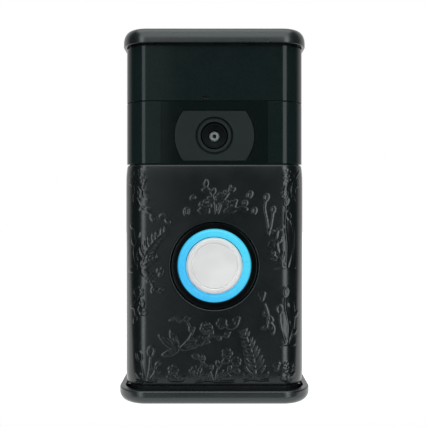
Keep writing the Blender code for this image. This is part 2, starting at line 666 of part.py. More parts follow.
def button(parent):
    """The cap that is pressed, its stem, and the plunger of the switch behind it."""
    cap = [(0, -32.3), (4.0, -32.27), (7.6, -32.15), (7.75, -31.95), (7.95, -31.95), (8.1, -32.1),
           (9.25, -31.9), (9.7, -31.5), (9.85, -31.0), (9.85, -27.4), (8.6, -27.4), (8.6, -30.4),
           (3.6, -30.4), (3.6, -28.6), (2.6, -28.6), (2.6, -30.4), (0, -30.4)]
    add("button_cap", turned(cap, 32), "button_white", parent)
    stem = [(0, -30.1), (2.3, -30.1), (2.3, -20.8), (3.6, -20.8), (3.6, -20.1), (0, -20.1)]
    add("button_stem", turned(stem, 24), "natural_plastic", parent)
    plunger = [(0, -19.8), (1.5, -19.8), (1.5, -17.0), (0, -17.0)]
    add("switch_plunger", turned(plunger, 16), "bezel_black", parent)


def button_spring(parent, first=-29.9, last=-22.8, coil=4.7, wire=0.35, turns=5, per_turn=10):
    """The coil spring that pushes the cap out, round the guide's sleeve."""
    count = turns * per_turn
    curve = bpy.data.curves.new("button_spring", "CURVE")
    curve.dimensions = "3D"
    curve.bevel_depth = wire * MM
    curve.bevel_resolution = 0
    curve.use_fill_caps = True
    line = curve.splines.new("POLY")
    line.points.add(count)
    for i in range(count + 1):
        angle = math.tau * i / per_turn
        y = first + (last - first) * i / count
        line.points[i].co = (coil * math.cos(angle) * MM, y * MM, coil * math.sin(angle) * MM, 1)
    spring = bpy.data.objects.new("button_spring", curve)
    curve.materials.append(finish("tinned_metal"))
    spring.parent = parent
    bpy.context.scene.collection.objects.link(spring)


def button_guide(parent):
    """The sleeve that the stem slides in, and the switch that the stem presses."""
    guide = [(2.7, -21.1), (9.0, -21.1), (9.0, -22.3), (3.7, -22.3), (3.7, -26.2), (2.7, -26.2)]
    add("button_guide", turned(guide, 20), "housing_black", parent)
    switch = add("button_switch", box(-3.1, 3.1, -18.8, -15.5, -3.1, 3.1), "tinned_metal", parent)
    cut(switch, "plunger_bore", cylinder(1.8, -20, -15.9, steps=20))


# ---------------------------------------------------------------- electronics


def main_board(parent):
    add("main_board", box(-26.0, 26.0, -15.2, -14.0, -52.0, 13.0), "board_green", parent)
    can = box(-12.0, 12.0, -18.2, -15.5, -50.0, -34.0)
    round_edge(can, at_level(1, -18.2), 0.4, 1)
    add("processor_shield", can, "tinned_metal", parent)


def battery(parent):
    cell = prism(rounded(-20.0, 20.0, -12.3, -5.0, 1.6, 1.6, 3), -34.0, 14.0)
    add("battery", cell, "battery_wrap", parent)


def power_board(parent):
    """Charging socket, setup button and its switch, on the board nearest the back."""
    add("power_board", box(-22.0, 22.0, -9.6, -8.4, 17.0, 49.0), "board_green", parent)
    shell = prism(rounded(-3.8, 3.8, USB_Z - 1.4, USB_Z + 1.4, 0.8, 0.8, 3), -8.1, -3.1, "Y")
    port = add("usb_port", shell, "tinned_metal", parent)
    mouth = prism(rounded(-3.45, 3.45, USB_Z - 1.05, USB_Z + 1.05, 0.5, 0.5, 3), -7.6, THROUGH, "Y")
    cut(port, "mouth", mouth)
    tongue = box(-2.6, 2.6, -7.8, -4.0, USB_Z - 0.3, USB_Z + 0.3)
    unite(port, "tongue", tongue)


def setup_button(parent):
    body = [(0, -6.5), (0.9, -6.5), (0.9, -5.9), (3.4, -5.9), (3.4, -5.2), (2.4, -5.2), (2.4, -3.2),
            (2.2, -3.0), (0, -3.0)]
    add("setup_button", turned(body, 16), "setup_orange", parent)
    switch = add("setup_switch", box(-2.6, 2.6, -8.1, -6.8, -2.6, 2.6), "tinned_metal", parent)
    cut(switch, "plunger_bore", cylinder(1.2, -7.8, -6, steps=16))


def terminals(parent):
    """The bar and the two screws that take the chime wires."""
    middle = (WIRE_LOW + WIRE_HIGH) / 2
    bar = add("terminal_bar", box(-11.5, 11.5, -7.1, -6.1, -2.6, 2.6), "brass", parent, (0, 0, middle))
    cut(bar, "screw_holes", *[cylinder(1.5, -8, -5, x, 0, steps=16) for _, x in mirrored(TERMINAL_X)])
    profile = [(0, -3.3), (2.2, -3.3), (2.6, -3.6), (2.6, -4.9), (1.2, -4.9), (1.2, -7.0), (0, -7.0)]
    for side, x in mirrored(TERMINAL_X):
        screw = add(f"terminal_screw_{side}", turned(profile, 16), "brass", parent, (x, 0, middle))
        cut(screw, "slot", box(-3, 3, -4.0, -3.0, -0.35, 0.35))


# ---------------------------------------------------------------- assembly


def build():
    clear_scene()
    holder = group("holder")
    holder_frame(holder)
    top_cap(holder)
    for side, x in mirrored(CAP_SCREW_X):
        upright_screw(f"cap_screw_{side}", holder, x, CAP_SCREW_Y, TOP - 0.15, 55.6, 2.0, 1.0)
    for side, x in mirrored(LOCK_SCREW_X):
        upright_screw(f"lock_screw_{side}", holder, x, LOCK_SCREW_Y, BOTTOM + 0.15, -54.8, 2.15, 1.1)

    unit = group("unit")
    rear_housing(unit)
    front_housing(unit)
    housing_seal(unit)
    housing_screws(unit)
    faceplate(unit)
    gloss_covers(unit)
    motion_sensors(unit)
    microphone(unit)
    main_board(unit)
    battery(unit)
    power_board(unit)
    terminals(unit)

    camera_axis = group("camera_axis", z=CAMERA_Z)
    camera_front(camera_axis)
    lens(camera_axis)
    lens_holder(camera_axis)
    filter_slide(camera_axis)
    camera_boards(camera_axis)

    button_axis = group("button_axis", z=BUTTON_Z)
    button_surround(button_axis)
    ring_lights(button_axis)
    button(button_axis)
    button_spring(button_axis)
    button_guide(button_axis)

    setup_button(group("setup_axis", x=SETUP_X, z=USB_Z))
    speaker(group("speaker_axis", y=SPEAKER_Y))


build()
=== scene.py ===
import json
import math
from types import SimpleNamespace

import bmesh
import bpy
import numpy as np
from mathutils import Matrix, Vector


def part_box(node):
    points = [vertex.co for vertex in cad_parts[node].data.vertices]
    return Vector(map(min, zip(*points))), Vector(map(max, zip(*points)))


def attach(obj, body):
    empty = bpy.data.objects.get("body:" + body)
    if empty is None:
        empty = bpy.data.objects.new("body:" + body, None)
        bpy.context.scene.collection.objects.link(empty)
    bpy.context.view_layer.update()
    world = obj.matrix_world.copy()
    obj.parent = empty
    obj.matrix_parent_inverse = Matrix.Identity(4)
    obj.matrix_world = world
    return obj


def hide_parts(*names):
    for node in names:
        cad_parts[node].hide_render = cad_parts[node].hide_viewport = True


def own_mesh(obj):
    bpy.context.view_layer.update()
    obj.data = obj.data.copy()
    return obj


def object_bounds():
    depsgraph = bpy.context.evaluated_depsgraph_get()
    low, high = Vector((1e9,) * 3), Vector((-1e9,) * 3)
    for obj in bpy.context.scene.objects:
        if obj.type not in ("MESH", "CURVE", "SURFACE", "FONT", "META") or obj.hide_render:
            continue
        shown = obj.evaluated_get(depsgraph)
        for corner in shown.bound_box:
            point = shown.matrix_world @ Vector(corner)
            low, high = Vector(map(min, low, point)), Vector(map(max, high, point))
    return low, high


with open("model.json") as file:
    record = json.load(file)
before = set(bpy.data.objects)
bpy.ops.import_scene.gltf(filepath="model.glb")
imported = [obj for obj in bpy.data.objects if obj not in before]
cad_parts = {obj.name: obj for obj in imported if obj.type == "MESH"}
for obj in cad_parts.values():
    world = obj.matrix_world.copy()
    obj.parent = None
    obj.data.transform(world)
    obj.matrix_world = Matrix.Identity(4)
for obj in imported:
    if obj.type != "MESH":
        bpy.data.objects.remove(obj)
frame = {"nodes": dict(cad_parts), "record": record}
cad_low, cad_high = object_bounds()

# Lengths are in millimetres, and the meshes are made in metres.
MM = 0.001
FIXED_BODY = "unit_in_holder"
SCENE = bpy.context.scene
SLOTS = {part["node"]: part["material_slot"] for part in frame["record"]["subparts"]}
SIDES = ("left", "right")
PAST = 2.0  # how far a cutter reaches past the face it cuts


def room(node):
    """The box of a CAD node, in millimetres."""
    low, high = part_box(node)
    names = ("x0", "y0", "z0", "x1", "y1", "z1")
    return SimpleNamespace(**{name: value / MM for name, value in zip(names, (*low, *high))})


def middle(space):
    return Vector(((space.x0 + space.x1) / 2, (space.y0 + space.y1) / 2, (space.z0 + space.z1) / 2))


# ---- outlines and solids


def arc(centre_x, centre_y, radius, start, end, steps):
    """Points along an arc, in degrees, both ends included."""
    angles = [math.radians(start + (end - start) * i / steps) for i in range(steps + 1)]
    return [(centre_x + radius * math.cos(a), centre_y + radius * math.sin(a)) for a in angles]


def rounded(x0, x1, y0, y1, near=0.0, far=0.0, steps=24):
    """A rectangle whose corners at y0 have the radius near, and those at y1 the radius far."""
    points = []
    corners = ((x0, y0, near, 180, 1, 1), (x1, y0, near, 270, -1, 1), (x1, y1, far, 0, -1, -1),
               (x0, y1, far, 90, 1, -1))
    for x, y, radius, start, side_x, side_y in corners:
        if radius:
            points += arc(x + side_x * radius, y + side_y * radius, radius, start, start + 90, steps)
        else:
            points.append((x, y))
    return points


def truncated_disc(radius, half_height, steps=32):
    """A disc with its top and bottom cut off flat."""
    edge = math.degrees(math.asin(half_height / radius))
    right = arc(0, 0, radius, -edge, edge, steps)
    return right + [(-x, -y) for x, y in right]


def softened(corners, steps=5):
    """A closed outline from (x, y, radius) corners, each rounded to its radius."""
    points = []
    count = len(corners)
    for i, (x, y, radius) in enumerate(corners):
        here = Vector((x, y))
        if not radius:
            points.append((x, y))
            continue
        before = Vector(corners[i - 1][:2]) - here
        after = Vector(corners[(i + 1) % count][:2]) - here
        half = before.angle(after) / 2
        reach = min(radius / math.tan(half), before.length * 0.49, after.length * 0.49)
        start = here + before.normalized() * reach
        end = here + after.normalized() * reach
        for k in range(steps + 1):
            t = k / steps
            points.append(tuple(start * (1 - t) ** 2 + here * 2 * t * (1 - t) + end * t**2))
    return points


def prism(outline, low, high, axis="Z"):
    """The outline extruded along an axis. It is drawn in X and Y for Z, and in X and Z for Y."""
    shape = bmesh.new()
    if axis == "Z":
        points = [(x, y, low) for x, y in outline]
        along = (0, 0, high - low)
    else:
        points = [(x, low, z) for x, z in outline]
        along = (0, high - low, 0)
    face = shape.faces.new([shape.verts.new(p) for p in points])
    swept = bmesh.ops.extrude_face_region(shape, geom=[face])
    lifted = [v for v in swept["geom"] if isinstance(v, bmesh.types.BMVert)]
    bmesh.ops.translate(shape, vec=along, verts=lifted)
    bmesh.ops.recalc_face_normals(shape, faces=shape.faces)
    return shape


def lofted(rings):
    """A solid through rings of points, each with as many as the last."""
    shape = bmesh.new()
    rings = [[shape.verts.new(point) for point in ring] for ring in rings]
    for lower, upper in zip(rings, rings[1:]):
        for i in range(len(lower)):
            shape.faces.new((lower[i - 1], lower[i], upper[i], upper[i - 1]))
    shape.faces.new(rings[0])
    shape.faces.new(rings[-1])
    bmesh.ops.recalc_face_normals(shape, faces=shape.faces)
    return shape


def box(x0, x1, y0, y1, z0, z1):
    return prism(rounded(x0, x1, y0, y1), z0, z1)


def turned(profile, steps=128, axis="Y"):
    """A closed profile of (radius, height) points, spun about Y or Z."""
    shape = bmesh.new()
    points = [(r, h, 0) if axis == "Y" else (r, 0, h) for r, h in profile]
    corners = [shape.verts.new(p) for p in points]
    ends = zip(corners, corners[1:] + corners[:1])
    chain = [shape.edges.new(pair) for pair in ends if any(v.co.x > 1e-9 for v in pair)]
    pivot = (0, 1, 0) if axis == "Y" else (0, 0, 1)
    bmesh.ops.spin(shape, geom=corners + chain, cent=(0, 0, 0), axis=pivot, angle=math.tau, steps=steps)
    bmesh.ops.remove_doubles(shape, verts=shape.verts, dist=0.0005)
    loose = [v for v in shape.verts if not v.link_faces]
    bmesh.ops.delete(shape, geom=loose, context="VERTS")
    bmesh.ops.recalc_face_normals(shape, faces=shape.faces)
    return shape


def moved(shape, x=0.0, y=0.0, z=0.0):
    bmesh.ops.translate(shape, vec=(x, y, z), verts=shape.verts)
    return shape


def round_edge(shape, axis, level, width, segments=8, wall=None):
    """Rounds the sharp edges in the plane where the axis has this value, but none against the wall."""
    edges = [
        e for e in shape.edges
        if all(abs(v.co[axis] - level) < 1e-5 for v in e.verts)
        and e.calc_face_angle(0) > math.radians(40)
        and (wall is None or any(abs(v.co.y - wall) > 1e-5 for v in e.verts))
    ]
    bmesh.ops.bevel(shape, geom=edges, offset=width, segments=segments, profile=0.5, affect="EDGES",
                    clamp_overlap=True)
    return shape


def together(*shapes):
    """Several separate closed shapes in one bmesh."""
    whole = bmesh.new()
    for shape in shapes:
        part = bpy.data.meshes.new("part")
        shape.to_mesh(part)
        shape.free()
        whole.from_mesh(part)
        bpy.data.meshes.remove(part)
    return whole


def as_object(name, shape):
    """A bmesh drawn in millimetres as an object in metres."""
    bmesh.ops.scale(shape, vec=(MM, MM, MM), verts=shape.verts)
    mesh = bpy.data.meshes.new(name)
    shape.to_mesh(mesh)
    shape.free()
    made = bpy.data.objects.new(name, mesh)
    SCENE.collection.objects.link(made)
    return made


def carved(name, shape, *steps, bevel):
    """An object from a shape and Boolean steps such as ("DIFFERENCE", shape, ...), its edges rounded."""
    made = as_object(name, shape)
    tools = []
    for operation, *others in steps:
        tool = as_object("tool", together(*others))
        tools.append(tool)
        boolean = made.modifiers.new("step", "BOOLEAN")
        boolean.operation = operation
        boolean.solver = "EXACT"
        boolean.object = tool
    edge = made.modifiers.new("edge", "BEVEL")
    edge.width = bevel * MM
    edge.segments = 3
    edge.limit_method = "ANGLE"
    edge.angle_limit = math.radians(35)
    edge.use_clamp_overlap = True
    settle(made)
    for tool in tools:
        bpy.data.objects.remove(tool, do_unlink=True)
    return made


def settle(made):
    """Applies the modifiers."""
    bpy.context.view_layer.update()
    graph = bpy.context.evaluated_depsgraph_get()
    finished = bpy.data.meshes.new_from_object(made.evaluated_get(graph))
    made.modifiers.clear()
    made.data = finished


def dress(data, slot, sharp=30):
    """Gives a mesh the material of its slot, and smooth shading but for edges sharper than this."""
    data.materials.clear()
    data.materials.append(LOOKS[slot])
    data.shade_smooth()
    data.set_sharp_from_angle(angle=math.radians(sharp))


def stands_for(made, node, body=FIXED_BODY, sharp=30, flat=False):
    """Finishes a piece: smooth shading, its slot's material, its body and the CAD node that it replaces.

    With flat, large faces keep their own direction and the small faces beside them take up the turn.
    """
    slot = SLOTS[node]
    made.name = node + "_detail"
    dress(made.data, slot, sharp)
    if flat:
        weighted = made.modifiers.new("normals", "WEIGHTED_NORMAL")
        weighted.keep_sharp = True
        settle(made)
    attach(made, body)
    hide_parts(node)
    return made


def about_axis(made, spot):
    """Moves a piece that was made round the origin to its own axis along Y."""
    made.data.transform(Matrix.Translation((spot.x * MM, 0, spot.z * MM)))
    return made


def spun(node, profile, spot, steps, **finish):
    """A piece that is turned about an axis along Y."""
    return stands_for(about_axis(as_object(node, turned(profile, steps)), spot), node, **finish)


# ---- materials


def feed(tree, socket, value):
    """Gives an input a number, a colour or another node's output."""
    if isinstance(value, bpy.types.NodeSocket):
        tree.links.new(value, socket)
    else:
        socket.default_value = value


def wired(tree, kind, inputs, output, **settings):
    """One output of a new node with these inputs."""
    node = tree.nodes.new("ShaderNode" + kind)
    for name, value in settings.items():
        setattr(node, name, value)
    for name, value in inputs.items():
        feed(tree, node.inputs[name], value)
    return node.outputs[output]


def limits(low, high, from_low, from_high):
    """The inputs of a range that is mapped to low and high."""
    return {"From Min": from_low, "From Max": from_high, "To Min": low, "To Max": high}


class Look:
    """A Principled material and the nodes that feed it. Object coordinates are in metres."""

    def __init__(self, name, colour, roughness, metallic=0.0):
        self.material = bpy.data.materials.new(name)
        self.material.use_nodes = True
        self.tree = self.material.node_tree
        self.colour = colour
        self.roughness = roughness
        self.place = self.node("TexCoord", {}, "Object")
        self.set("Base Color", (*colour, 1.0))
        self.set("Roughness", roughness)
        self.set("Metallic", metallic)

    def set(self, name, value):
        feed(self.tree, self.tree.nodes["Principled BSDF"].inputs[name], value)

    def node(self, kind, inputs, output, **settings):
        return wired(self.tree, kind, inputs, output, **settings)

    def stretched(self, x, y, z):
        """The place scaled along each axis."""
        return self.node("Mapping", {"Scale": (x, y, z), "Vector": self.place}, "Vector")

    def noise(self, size, detail=3.0, place=None):
        """Noise whose blotches are about this many millimetres across."""
        inputs = {"Scale": 1 / (size * MM), "Detail": detail, "Vector": place or self.place}
        return self.node("TexNoise", inputs, "Fac")

    def cells(self, size):
        """Distance inside cells that are about this many millimetres across."""
        return self.node("TexVoronoi", {"Scale": 1 / (size * MM), "Vector": self.place}, "Distance")

    def mapped(self, value, *ends):
        """A value mapped to the range that limits gives."""
        return self.node("MapRange", {**limits(*ends), "Value": value}, "Result")

    def vary_roughness(self, value, spread):
        self.set("Roughness", self.mapped(value, self.roughness - spread, self.roughness + spread, 0.3, 0.7))

    def blend(self, share, first, second):
        """The first colour where the share is 0 and the second where it is 1."""
        inputs = {0: share, 6: (*first, 1.0), 7: (*second, 1.0)}
        return self.node("Mix", inputs, 2, data_type="RGBA")

    def vary_colour(self, value, other, from_low=0.3, from_high=0.7):
        """Blends from the base colour to another one as the value rises."""
        share = self.mapped(value, 0.0, 1.0, from_low, from_high)
        self.set("Base Color", self.blend(share, self.colour, other))

    def bump(self, value, height):
        """A bump that is this many millimetres high."""
        self.set("Normal", self.node("Bump", {"Distance": height * MM, "Height": value}, "Normal"))


def tinted(colour, factor):
    return tuple(min(1.0, part * factor) for part in colour)


def moulded(name, colour, roughness, grain, depth, specular, spread):
    """Moulded plastic with a fine spark-eroded grain and slight handling marks."""
    look = Look(name, colour, roughness)
    look.set("Specular IOR Level", specular)
    look.vary_roughness(look.noise(9.0, 4.0), spread)
    look.vary_colour(look.noise(14.0, 2.0), tinted(colour, 1.25))
    look.bump(look.noise(grain, 2.0), depth)
    return look.material


def polished(name, colour, roughness, specular):
    """Polished plastic with a faint moulding ripple and fine dust."""
    look = Look(name, colour, roughness)
    look.set("Specular IOR Level", specular)
    look.vary_roughness(look.noise(6.0, 6.0), roughness * 0.35)
    look.vary_colour(look.cells(0.9), tinted(colour, 1.3), 0.02, 0.6)
    look.bump(look.noise(22.0, 1.0), 0.004)
    return look.material


def metal(name, colour, roughness):
    """Rolled or turned metal with fine streaks."""
    look = Look(name, colour, roughness, 1.0)
    streaks = look.noise(900.0, 4.0, look.stretched(1000, 10000, 10000))
    look.vary_roughness(streaks, 0.08)
    look.vary_colour(look.noise(3.0, 3.0), tinted(colour, 0.82))
    look.bump(streaks, 0.004)
    return look.material


def circuit_board(name, colour):
    """Solder mask over copper: bands of tracks, and round pads."""
    look = Look(name, colour, 0.36)
    inputs = {"Scale": 330.0, "Distortion": 9.0, "Detail Scale": 0.15, "Vector": look.place}
    wave = look.node("TexWave", inputs, "Fac", wave_type="BANDS", bands_direction="DIAGONAL")
    tracks = look.mapped(wave, 0.0, 1.0, 0.60, 0.66)
    look.vary_colour(tracks, tinted(colour, 2.3), 0.0, 1.0)
    look.vary_roughness(look.cells(2.4), 0.08)
    look.bump(tracks, 0.03)
    return look.material


def rubber(name, colour):
    """Soft rubber with a fine matt skin."""
    look = Look(name, colour, 0.8)
    look.vary_roughness(look.noise(4.0), 0.08)
    look.vary_colour(look.noise(6.0), tinted(colour, 1.6))
    look.bump(look.noise(0.25, 2.0), 0.012)
    return look.material


def shrink_wrap(name, colour):
    """A shrunk sleeve: soft wrinkles and slightly darker blotches at random."""
    look = Look(name, colour, 0.42)
    look.vary_roughness(look.noise(5.0, 4.0), 0.09)
    look.vary_colour(look.noise(18.0, 2.0), tinted(colour, 0.6))
    look.bump(look.noise(3.5, 3.0, look.stretched(1.0, 1.0, 0.25)), 0.12)
    return look.material


def coated_glass(name, colour):
    """A small dark optical surface with an anti-reflection coating."""
    look = Look(name, colour, 0.02)
    look.set("Coat Weight", 1.0)
    look.set("Coat Roughness", 0.02)
    look.set("Coat Tint", (0.55, 0.75, 1.0, 1.0))
    look.vary_roughness(look.noise(0.8, 3.0), 0.01)
    look.vary_colour(look.noise(1.4, 2.0), tinted(colour, 1.7))
    return look.material


def lit_ring(name, spot):
    """A diffuser lit from behind, a little brighter towards its upper right."""
    look = Look(name, (0.03, 0.20, 0.36), 0.28)
    across, up = (look.node("SeparateXYZ", {0: look.place}, axis) for axis in "XZ")
    total = look.node("Math", {0: across, 1: up}, 0, operation="ADD")
    centre, reach = (spot.x + spot.z) * MM, 12 * MM
    share = look.mapped(total, 0.0, 1.0, centre - reach, centre + reach)
    look.set("Emission Color", look.blend(share, (0.028, 0.370, 0.640), (0.055, 0.520, 0.660)))
    look.set("Emission Strength", 0.95)
    look.vary_roughness(look.noise(3.0, 3.0), 0.05)
    look.bump(look.noise(0.5, 2.0), 0.004)
    return look.material


# colour, roughness, size and depth of the grain in millimetres, specular level, spread of the roughness
MOULDED = {
    "face_satin": ((0.0026, 0.0048, 0.0052), 0.23, 0.30, 0.003, 0.55, 0.03),
    "holder_satin": ((0.0060, 0.0092, 0.0102), 0.28, 0.30, 0.004, 0.65, 0.03),
    "camera_grey": ((0.0100, 0.0148, 0.0148), 0.50, 0.25, 0.003, 0.15, 0.05),
    "lens_black": ((0.0020, 0.0034, 0.0034), 0.55, 0.20, 0.003, 0.12, 0.05),
    "lens_ring": ((0.170, 0.185, 0.178), 0.45, 0.15, 0.002, 0.4, 0.05),
    "housing_black": ((0.0090, 0.0100, 0.0105), 0.48, 0.40, 0.010, 0.45, 0.05),
    "button_white": ((0.730, 0.690, 0.690), 0.34, 0.35, 0.003, 0.45, 0.03),
    "natural_plastic": ((0.520, 0.500, 0.440), 0.50, 0.50, 0.010, 0.5, 0.05),
    "setup_orange": ((0.850, 0.220, 0.020), 0.40, 0.30, 0.004, 0.5, 0.05),
}
# colour, roughness, specular level
POLISHED = {
    "gloss_black": ((0.0058, 0.0105, 0.0102), 0.12, 0.20),
    "smoked_window": ((0.0034, 0.0062, 0.0062), 0.08, 0.20),
    "bezel_black": ((0.0012, 0.0016, 0.0018), 0.16, 0.25),
}
# colour, roughness
METAL = {
    "tinned_metal": ((0.560, 0.570, 0.580), 0.30),
    "screw_steel": ((0.110, 0.110, 0.115), 0.34),
    "brass": ((0.560, 0.380, 0.130), 0.28),
}
LOOKS = {
    "optical_glass": coated_glass("optical_glass", (0.0060, 0.0080, 0.0140)),
    "filter_glass": coated_glass("filter_glass", (0.30, 0.05, 0.08)),
    "board_green": circuit_board("board_green", (0.010, 0.090, 0.035)),
    "battery_wrap": shrink_wrap("battery_wrap", (0.030, 0.060, 0.180)),
    "seal_rubber": rubber("seal_rubber", (0.020, 0.020, 0.020)),
    "light_blue": lit_ring("light_blue", middle(room("light_ring"))),
}
for kind, recipes in ((moulded, MOULDED), (polished, POLISHED), (metal, METAL)):
    for slot, facts in recipes.items():
        LOOKS[slot] = kind(slot, *facts)


def dress_carried_nodes():
    """Gives every CAD node the detailed material of its slot."""
    for name, slot in SLOTS.items():
        dress(frame["nodes"][name].data, slot)


# ---- holder

CAP_CORNER, CAP_WALL, CAP_ROOF = 8.7, 1.1, 1.7
CAP_LIP = 0.35  # radius of its lower edge
CROWN_INSET, CROWN_DROP = 2.6, 4.0  # how far the cap's crown comes in and how far down it starts
TRAY_CORNER, TRAY_WALL, TRAY_FLOOR, TRAY_HEIGHT = 10.0, 2.0, 1.7, 4.95
TRAY_FOOT, TRAY_RIM = 3.0, 0.6  # radii of its lower and upper edges
PLATE = 2.5  # thickness of the back plate
BOSS_HALF, BOSS_DEPTH, BOSS_HEIGHT = 3.5, 8.5, 9.7
PILOT_RADIUS, PILOT_DEPTH = 1.4, 8.2
RIB_HALF, RIB_FOOT, RIB_DROP = 1.0, 1.3, 1.0  # ribs start over the tray's rounded foot and end under its rim
SIDE_RIBS, FRONT_RIBS = (-9.0, -20.0), (-16.0, 16.0)
WALL_SCREW_X, WALL_SCREW_Z = 22.0, 40.0
WIRES_HALF_WIDTH, WIRES_HALF_HEIGHT = 12.0, 7.0
SLOT_PITCH, SLOT_HALF_WIDTH, SLOT_HALF_LENGTH = 3.0, 0.65, 4.0


def top_cap():
    cap = room("top_cap")
    levels = []
    for turn in np.linspace(0, math.pi / 2, 5):
        levels.append((CAP_LIP * (1 - math.sin(turn)), cap.z0 + CAP_LIP * (1 - math.cos(turn))))
    for turn in np.linspace(0, math.pi / 2, 13):
        levels.append((CROWN_INSET * (1 - math.cos(turn)), cap.z1 - CROWN_DROP * (1 - math.sin(turn))))
    rings = []
    for inset, z in levels:
        outline = rounded(cap.x0 + inset, cap.x1 - inset, cap.y0 + inset, cap.y1, CAP_CORNER - inset, 0, 32)
        rings.append([(x, y, z) for x, y in outline])
    inner = rounded(cap.x0 + CAP_WALL, cap.x1 - CAP_WALL, cap.y0 + CAP_WALL, cap.y1 + PAST,
                    CAP_CORNER - CAP_WALL, 0, 32)
    well = prism(inner, cap.z0 - PAST, cap.z1 - CAP_ROOF)
    sink = softened([(0, cap.z1 + 1, 0), (3.5, cap.z1 + 1, 0), (1.4, cap.z1 - 1.1, 0.1),
                     (1.4, cap.z1 - 3, 0), (0, cap.z1 - 3, 0)])
    spots = [middle(room(f"cap_screw_{side}")) for side in SIDES]
    holes = [moved(turned(sink, 64, "Z"), spot.x, spot.y, 0) for spot in spots]
    made = carved("top_cap", lofted(rings), ("DIFFERENCE", well), ("DIFFERENCE", *holes), bevel=0.1)
    stands_for(made, "top_cap", flat=True)


def tray_and_ribs(whole, rear):
    """The foot tray, the cutter for its inside, and the ribs that hold the case in the middle of it."""
    rim = whole.z0 + TRAY_HEIGHT
    tray = prism(rounded(whole.x0, whole.x1, whole.y0, 0, TRAY_CORNER, 0, 32), whole.z0, rim)
    round_edge(tray, 2, whole.z0, TRAY_FOOT, 12, wall=0)
    round_edge(tray, 2, rim, TRAY_RIM, 6, wall=0)
    wall = TRAY_WALL
    inner = rounded(whole.x0 + wall, whole.x1 - wall, whole.y0 + wall, -PLATE, TRAY_CORNER - wall, 1.0, 32)
    well = prism(inner, whole.z0 + TRAY_FLOOR, rim + PAST)
    low, high = whole.z0 + RIB_FOOT, rim - RIB_DROP
    ribs = []
    for y in SIDE_RIBS:
        for x0, x1 in ((whole.x0 + 1, rear.x0 - 0.3), (rear.x1 + 0.3, whole.x1 - 1)):
            ribs.append(box(x0, x1, y - RIB_HALF, y + RIB_HALF, low, high))
    front = room("front_housing").y0 - 0.3
    for x in FRONT_RIBS:
        ribs.append(box(x - RIB_HALF, x + RIB_HALF, whole.y0 + 1, front, low, high))
    return tray, well, ribs


def holder_frame():
    whole = room("holder_frame")
    rear = room("rear_housing")
    tray, well, ribs = tray_and_ribs(whole, rear)
    plate = prism(rounded(rear.x0, rear.x1, whole.z0 + 1, whole.z1, 0, 3.0, 12), -PLATE, 0, "Y")
    screws = [middle(room(f"cap_screw_{side}")) for side in SIDES]
    bosses = []
    for s in screws:
        bosses.append(box(s.x - BOSS_HALF, s.x + BOSS_HALF, -BOSS_DEPTH, -1.0, whole.z1 - BOSS_HEIGHT,
                          whole.z1 - 0.2))
    pilots = [prism(arc(s.x, s.y, PILOT_RADIUS, 0, 360, 32)[:-1], whole.z1 - PILOT_DEPTH, whole.z1 + 1)
              for s in screws]
    bar = middle(room("terminal_bar"))
    wires = prism(rounded(-WIRES_HALF_WIDTH, WIRES_HALF_WIDTH, bar.z - WIRES_HALF_HEIGHT,
                          bar.z + WIRES_HALF_HEIGHT, 2, 2, 12), -PLATE - 1, PAST, "Y")
    sink = [(0, -PLATE - 1), (4.9, -PLATE - 1), (2.2, -0.8), (2.2, 1), (0, 1)]
    holes = [moved(turned(sink, 64), sx * WALL_SCREW_X, 0, sz * WALL_SCREW_Z)
             for sx in (-1, 1) for sz in (-1, 1)]
    foot = whole.z0
    lock_sink = [(0, foot - 1), (3.6, foot - 1), (1.5, foot + 1.1), (1.5, foot + 3), (0, foot + 3)]
    locks = [middle(room(f"lock_screw_{side}")) for side in SIDES]
    lock_holes = [moved(turned(lock_sink, 64, "Z"), s.x, s.y, 0) for s in locks]
    depth = middle(room("speaker_cone")).y
    sound = []
    for step in (-2, -1, 0, 1, 2):
        x = SLOT_PITCH * step
        outline = rounded(x - SLOT_HALF_WIDTH, x + SLOT_HALF_WIDTH, depth - SLOT_HALF_LENGTH,
                          depth + SLOT_HALF_LENGTH, 0.6, 0.6, 8)
        sound.append(prism(outline, foot - PAST, foot + PAST))
    made = carved("holder_frame", tray, ("DIFFERENCE", well), ("UNION", plate), ("UNION", *bosses, *ribs),
                  ("DIFFERENCE", wires, *holes, *pilots, *lock_holes), ("DIFFERENCE", *sound), bevel=0.12)
    stands_for(made, "holder_frame", flat=True)


THREADS = 9  # rings on a screw's shank
CROSS_HALF_WIDTH = 0.26


def cross_screw(node):
    """A countersunk or pan head screw along Z, with a cross recess and thread rings."""
    space = room(node)
    up = space.z0 > 0
    way = 1 if up else -1
    head, tip = (space.z1, space.z0) if up else (space.z0, space.z1)
    radius = (space.x1 - space.x0) / 2
    shank = radius * 0.48
    profile = [(0, head, 0), (radius - 0.25, head, 0.1), (radius, head - way * 0.2, 0.1),
               (shank, head - way * 1.1, 0.1)]
    pitch = (abs(head - tip) - 2.4) / THREADS
    for k in range(THREADS):
        root = head - way * (1.4 + pitch * k)
        profile += [(shank * 0.86, root, 0.05), (shank * 1.06, root - way * pitch * 0.5, 0.03)]
    profile += [(shank * 0.8, tip + way * 0.7, 0.1), (0.2, tip, 0), (0, tip, 0)]
    recess, thin = radius * 0.62, CROSS_HALF_WIDTH
    low, high = sorted((head - way * 0.65, head + way * 0.4))
    arms = [box(-recess, recess, -thin, thin, low, high), box(-thin, thin, -recess, recess, low, high)]
    made = carved(node, turned(softened(profile, 3), 64, "Z"), ("DIFFERENCE", arms[0]),
                  ("DIFFERENCE", arms[1]), bevel=0.04)
    spot = middle(space)
    made.data.transform(Matrix.Translation((spot.x * MM, spot.y * MM, 0)))
    stands_for(made, node)


